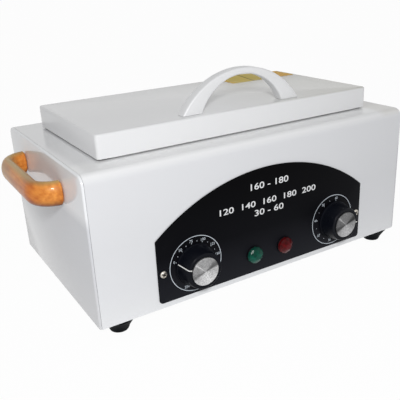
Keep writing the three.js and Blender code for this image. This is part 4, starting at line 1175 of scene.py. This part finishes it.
def drawn_out(obj, level, spread, drop=0.0):
    """Draws the open edge at a level outwards all round by spread, and down by drop."""
    with editing(obj):
        chosen(obj, "EDGE", lambda middle, way: abs(middle.z - level) < near and abs(way.z) < 0.1)
        ring = [vert for vert in bmesh.from_edit_mesh(obj.data).verts if vert.select]
        reach_x = max(abs(vert.co.x) for vert in ring)
        middle_y = sum(vert.co.y for vert in ring) / len(ring)
        reach_y = max(abs(vert.co.y - middle_y) for vert in ring)
        drawn((0, 0, -drop))
        bpy.ops.transform.resize(
            value=((reach_x + spread) / reach_x, (reach_y + spread) / reach_y, 1),
            center_override=(0, middle_y, level - drop),
        )


tank_outer_low, tank_outer_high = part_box("chamber_tank")
tub_low, tub_high = tank_low + tank_jacket, tank_high - tank_jacket
tub_low.z, tub_high.z = tank_outer_low.z, tank_outer_high.z
tank = tub("drawn_tank", tub_low, tub_high, tank_corner, tank_floor_edge)
drawn_out(tank, tub_high.z, tank_outer_high.x - tub_high.x)
walled(tank, drawn_sheet)
dressed(tank, bright_steel, "case", "stainless", "chamber_tank")


# Instrument tray: a shallow stainless tub with a rolled rim and a field of round-ended slots, so that
# hot air comes up through it. Two wire grips are welded to its ends.
tray_corner = 0.011
tray_floor_edge = 0.003
tray_roll = 0.0011
tray_lip = 0.0003
slot_columns, slot_rows = 5, 3
slot_pitch_x, slot_pitch_y = 0.044, 0.026
slot_half = Vector((0.015, 0.0025, cut_margin / 2))
slot_end_round = 0.98 * slot_half.y
tray_low, tray_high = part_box("instrument_tray")
tray = tub("slotted_tray", tray_low, tray_high, tray_corner, tray_floor_edge)
drawn_out(tray, tray_high.z, tray_roll)
drawn_out(tray, tray_high.z, tray_lip, drop=tray_roll)
walled(tray, drawn_sheet)
for column in range(slot_columns):
    for row in range(slot_rows):
        middle = box_middle("instrument_tray", x=(column - (slot_columns - 1) / 2) * slot_pitch_x, z=tray_low.z)
        middle.y += (row - (slot_rows - 1) / 2) * slot_pitch_y
        slot = cuboid("slot_cutter", middle - slot_half, middle + slot_half)
        with editing(slot):
            rounded(slot, slot_end_round, 6, upright)
        cut(tray, slot)
dressed(tray, bright_steel, "case", "stainless", "instrument_tray")


# Tray grips: bows of stainless wire, bent cold and welded upright to the two ends of the tray. Fingers
# or tongs lift the tray by them.
wire_corner = 0.008
for word in ["left", "right"]:
    low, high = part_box("tray_grip_" + word)
    wire = (high.x - low.x) / 2
    root = box_middle("tray_grip_" + word, y=low.y + wire, z=low.z)
    wire_grip = settled(disc(word + "_wire_grip", 20, wire, root))
    with editing(wire_grip):
        along = Vector((0, high.y - low.y - 2 * wire, 0))
        drawn_bow(root, Vector((0, 0, high.z - wire - low.z)), along, wire_corner, 8)
    dressed(wire_grip, bright_steel, "case", "stainless", "tray_grip_" + word)


# Lid liner: a stainless pan pressed into the underside of the lid. Its middle is dished towards the
# chamber for stiffness, and the seal lies against the flat margin round it.
liner_corner = 0.0034
liner_floor_edge = 0.001
liner_margin = 0.024
liner_slope = 0.003
liner_dish = 0.0012
liner_edge, liner_edge_angle = 0.0002, math.radians(50)
liner_low, liner_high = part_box("lid_liner")
liner = tub("dished_liner", liner_low, liner_high, liner_corner, liner_floor_edge)
with editing(liner):
    chosen(liner, "FACE", lambda middle, normal: middle.z < liner_low.z + near)
    bpy.ops.mesh.inset(thickness=liner_margin)
    bpy.ops.mesh.inset(thickness=liner_slope)
    bpy.ops.transform.translate(value=(0, 0, -liner_dish))
walled(liner, drawn_sheet)
applied(liner, "BEVEL", width=liner_edge, segments=2, limit_method="ANGLE", angle_limit=liner_edge_angle)
dressed(liner, bright_steel, "lid", "stainless", "lid_liner")


# Lid seal: a flat ring of silicone rubber glued under the liner's margin, dark in colour as painted shade: only
# its edge shows, set back in the gap, as the thin dark line between lid and case.
def kept(material, *names):
    """Gives a finished material to the solids named, whose shape is right as it is."""
    for name in names:
        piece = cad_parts[name]
        piece.data.materials.clear()
        piece.data.materials.append(material)


kept(grained(
    "seal_rubber", (0.018, 0.018, 0.02), 0.6, variation=0.5, patches=400.0, height=0.00006, specular=0.2
), "lid_gasket")


# Hinges: two pairs of stainless leaves rolled round a headed pin at the rear of the lid. Each leaf is
# held by two domed rivets, one pair into the case top and one pair into the lid's rear wall.
hinge_steel = grained(
    "hinge_steel", (0.55, 0.55, 0.56), 0.3, variation=0.08, spread=0.14, patches=40.0, grain=1100.0, metallic=1.0
)
hinge_leaf = 0.0014
rivet_dome = [(0.0021, 0), (0.0021, 0.0002), (0.0018, 0.0005), (0.0012, 0.00072), (0.0005, 0.00081)]
rivet_drop = 0.0045
case_rivet_spread, lid_rivet_spread = 0.015, 0.0065
pin_head = [(0.0026, 0), (0.0026, 0.0005), (0.0021, 0.001), (0.001, 0.0013)]


def headed(name, place, axis, profile, body):
    """The round head of a rivet or pin."""
    dressed(turned(name, place, axis, profile, 32), hinge_steel, body, "hinge_steel")


for word in ["left", "right"]:
    leaf_low, leaf_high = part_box(word + "_hinge_case_leaf")
    upright_low, upright_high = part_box(word + "_hinge_lid_leaf")
    middle_x = (leaf_low.x + leaf_high.x) / 2
    for hand in [-1, 1]:
        place = Vector((middle_x + hand * case_rivet_spread, leaf_high.y - rivet_drop, leaf_low.z + hinge_leaf))
        headed(word + "_case_rivet", place, "up", rivet_dome, "case")
        place = Vector((
            middle_x + hand * lid_rivet_spread, upright_low.y + hinge_leaf, upright_high.z - rivet_drop
        ))
        headed(word + "_lid_rivet", place, "rear", rivet_dome, "lid")
    pin_end = box_middle(word + "_hinge_pin", x=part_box(word + "_hinge_pin")[0].x)
    headed(word + "_pin_head", pin_end, "left", pin_head, "case")
    kept(hinge_steel, word + "_hinge_case_leaf", word + "_hinge_lid_leaf")


# Power inlet: a moulded black three-pin socket low on the rear, screwed through its two ears. Its blades
# stand in the hollow for the connector of a mains lead.
kept(
    grained("inlet_black", (0.012, 0.012, 0.013), 0.42, variation=0.1, patches=60.0, specular=0.3),
    "power_inlet",
)
ear_inset = 0.005
ear_screw = [(0.0026, 0), (0.0026, 0.0006), (0.0022, 0.0012), (0.0012, 0.0015)]
cross_long, cross_wide, cross_deep = 0.0014, 0.0004, 0.0008
for x in [inlet_low.x + ear_inset, inlet_high.x - ear_inset]:
    place = box_middle("power_inlet", x=x, y=inlet_high.y)
    head = turned("inlet_screw", place, "rear", ear_screw, 40)
    head_top = place + Vector((0, ear_screw[-1][1], 0))
    for half in [Vector((cross_long, cross_deep, cross_wide)), Vector((cross_wide, cross_deep, cross_long))]:
        cut(head, cuboid("recess_cutter", head_top - half, head_top + half))
    dressed(head, screw_steel, "case", "fastener_steel")


# Fasteners and pins out of sight: foot, handle and lid handle screws, hinge pins, control shafts, the
# inlet's blades and the thermostat's bulb, all nickel plated or bare bright steel.
kept(
    screw_steel,
    "front_left_foot_screw", "front_right_foot_screw", "rear_left_foot_screw", "rear_right_foot_screw",
    "left_handle_front_screw", "left_handle_rear_screw", "right_handle_front_screw", "right_handle_rear_screw",
    "lid_handle_screw_left", "lid_handle_screw_right", "left_hinge_pin", "right_hinge_pin",
    "thermostat_shaft", "timer_shaft", "inlet_pins", "thermostat_bulb",
)


# Base plate, heater clamp, insulation strap and timer housing: zinc plated sheet steel, with the dull
# cloudy spangle that the plating leaves.
kept(grained(
    "zinc_plate", (0.5, 0.505, 0.52), 0.42, variation=0.3, spread=0.2, patches=90.0, grain=600.0, metallic=1.0
), "base_plate", "heater_clamp", "insulation_strap", "timer_body")


# Heating element: a steel sheathed rod bent under the tank floor. Working heat has turned its sheath
# straw and brown in bands.
kept(grained(
    "heater_sheath", (0.2, 0.13, 0.07), 0.46, variation=0.9, spread=0.2, patches=22.0, grain=1400.0,
    metallic=0.85,
), "heating_element")


# Insulation: a jacket of needled mineral fibre wrapped round the tank, and a mat of the same fibre
# pressed between the lid's shell and liner.
kept(grained(
    "mineral_fibre", (0.60, 0.54, 0.38), 0.95, variation=0.35, spread=0.05, patches=70.0, grain=1800.0,
    height=0.0006, specular=0.1,
), "tank_insulation", "lid_insulation")


# Thermostat body, thermal cut-out and terminal block: dark brown phenolic mouldings with a low sheen,
# screwed inside the case.
kept(grained(
    "phenolic", (0.04, 0.022, 0.014), 0.38, variation=0.35, spread=0.1, patches=130.0, grain=1500.0,
    specular=0.4,
), "thermostat_body", "thermal_cutout", "terminal_block")
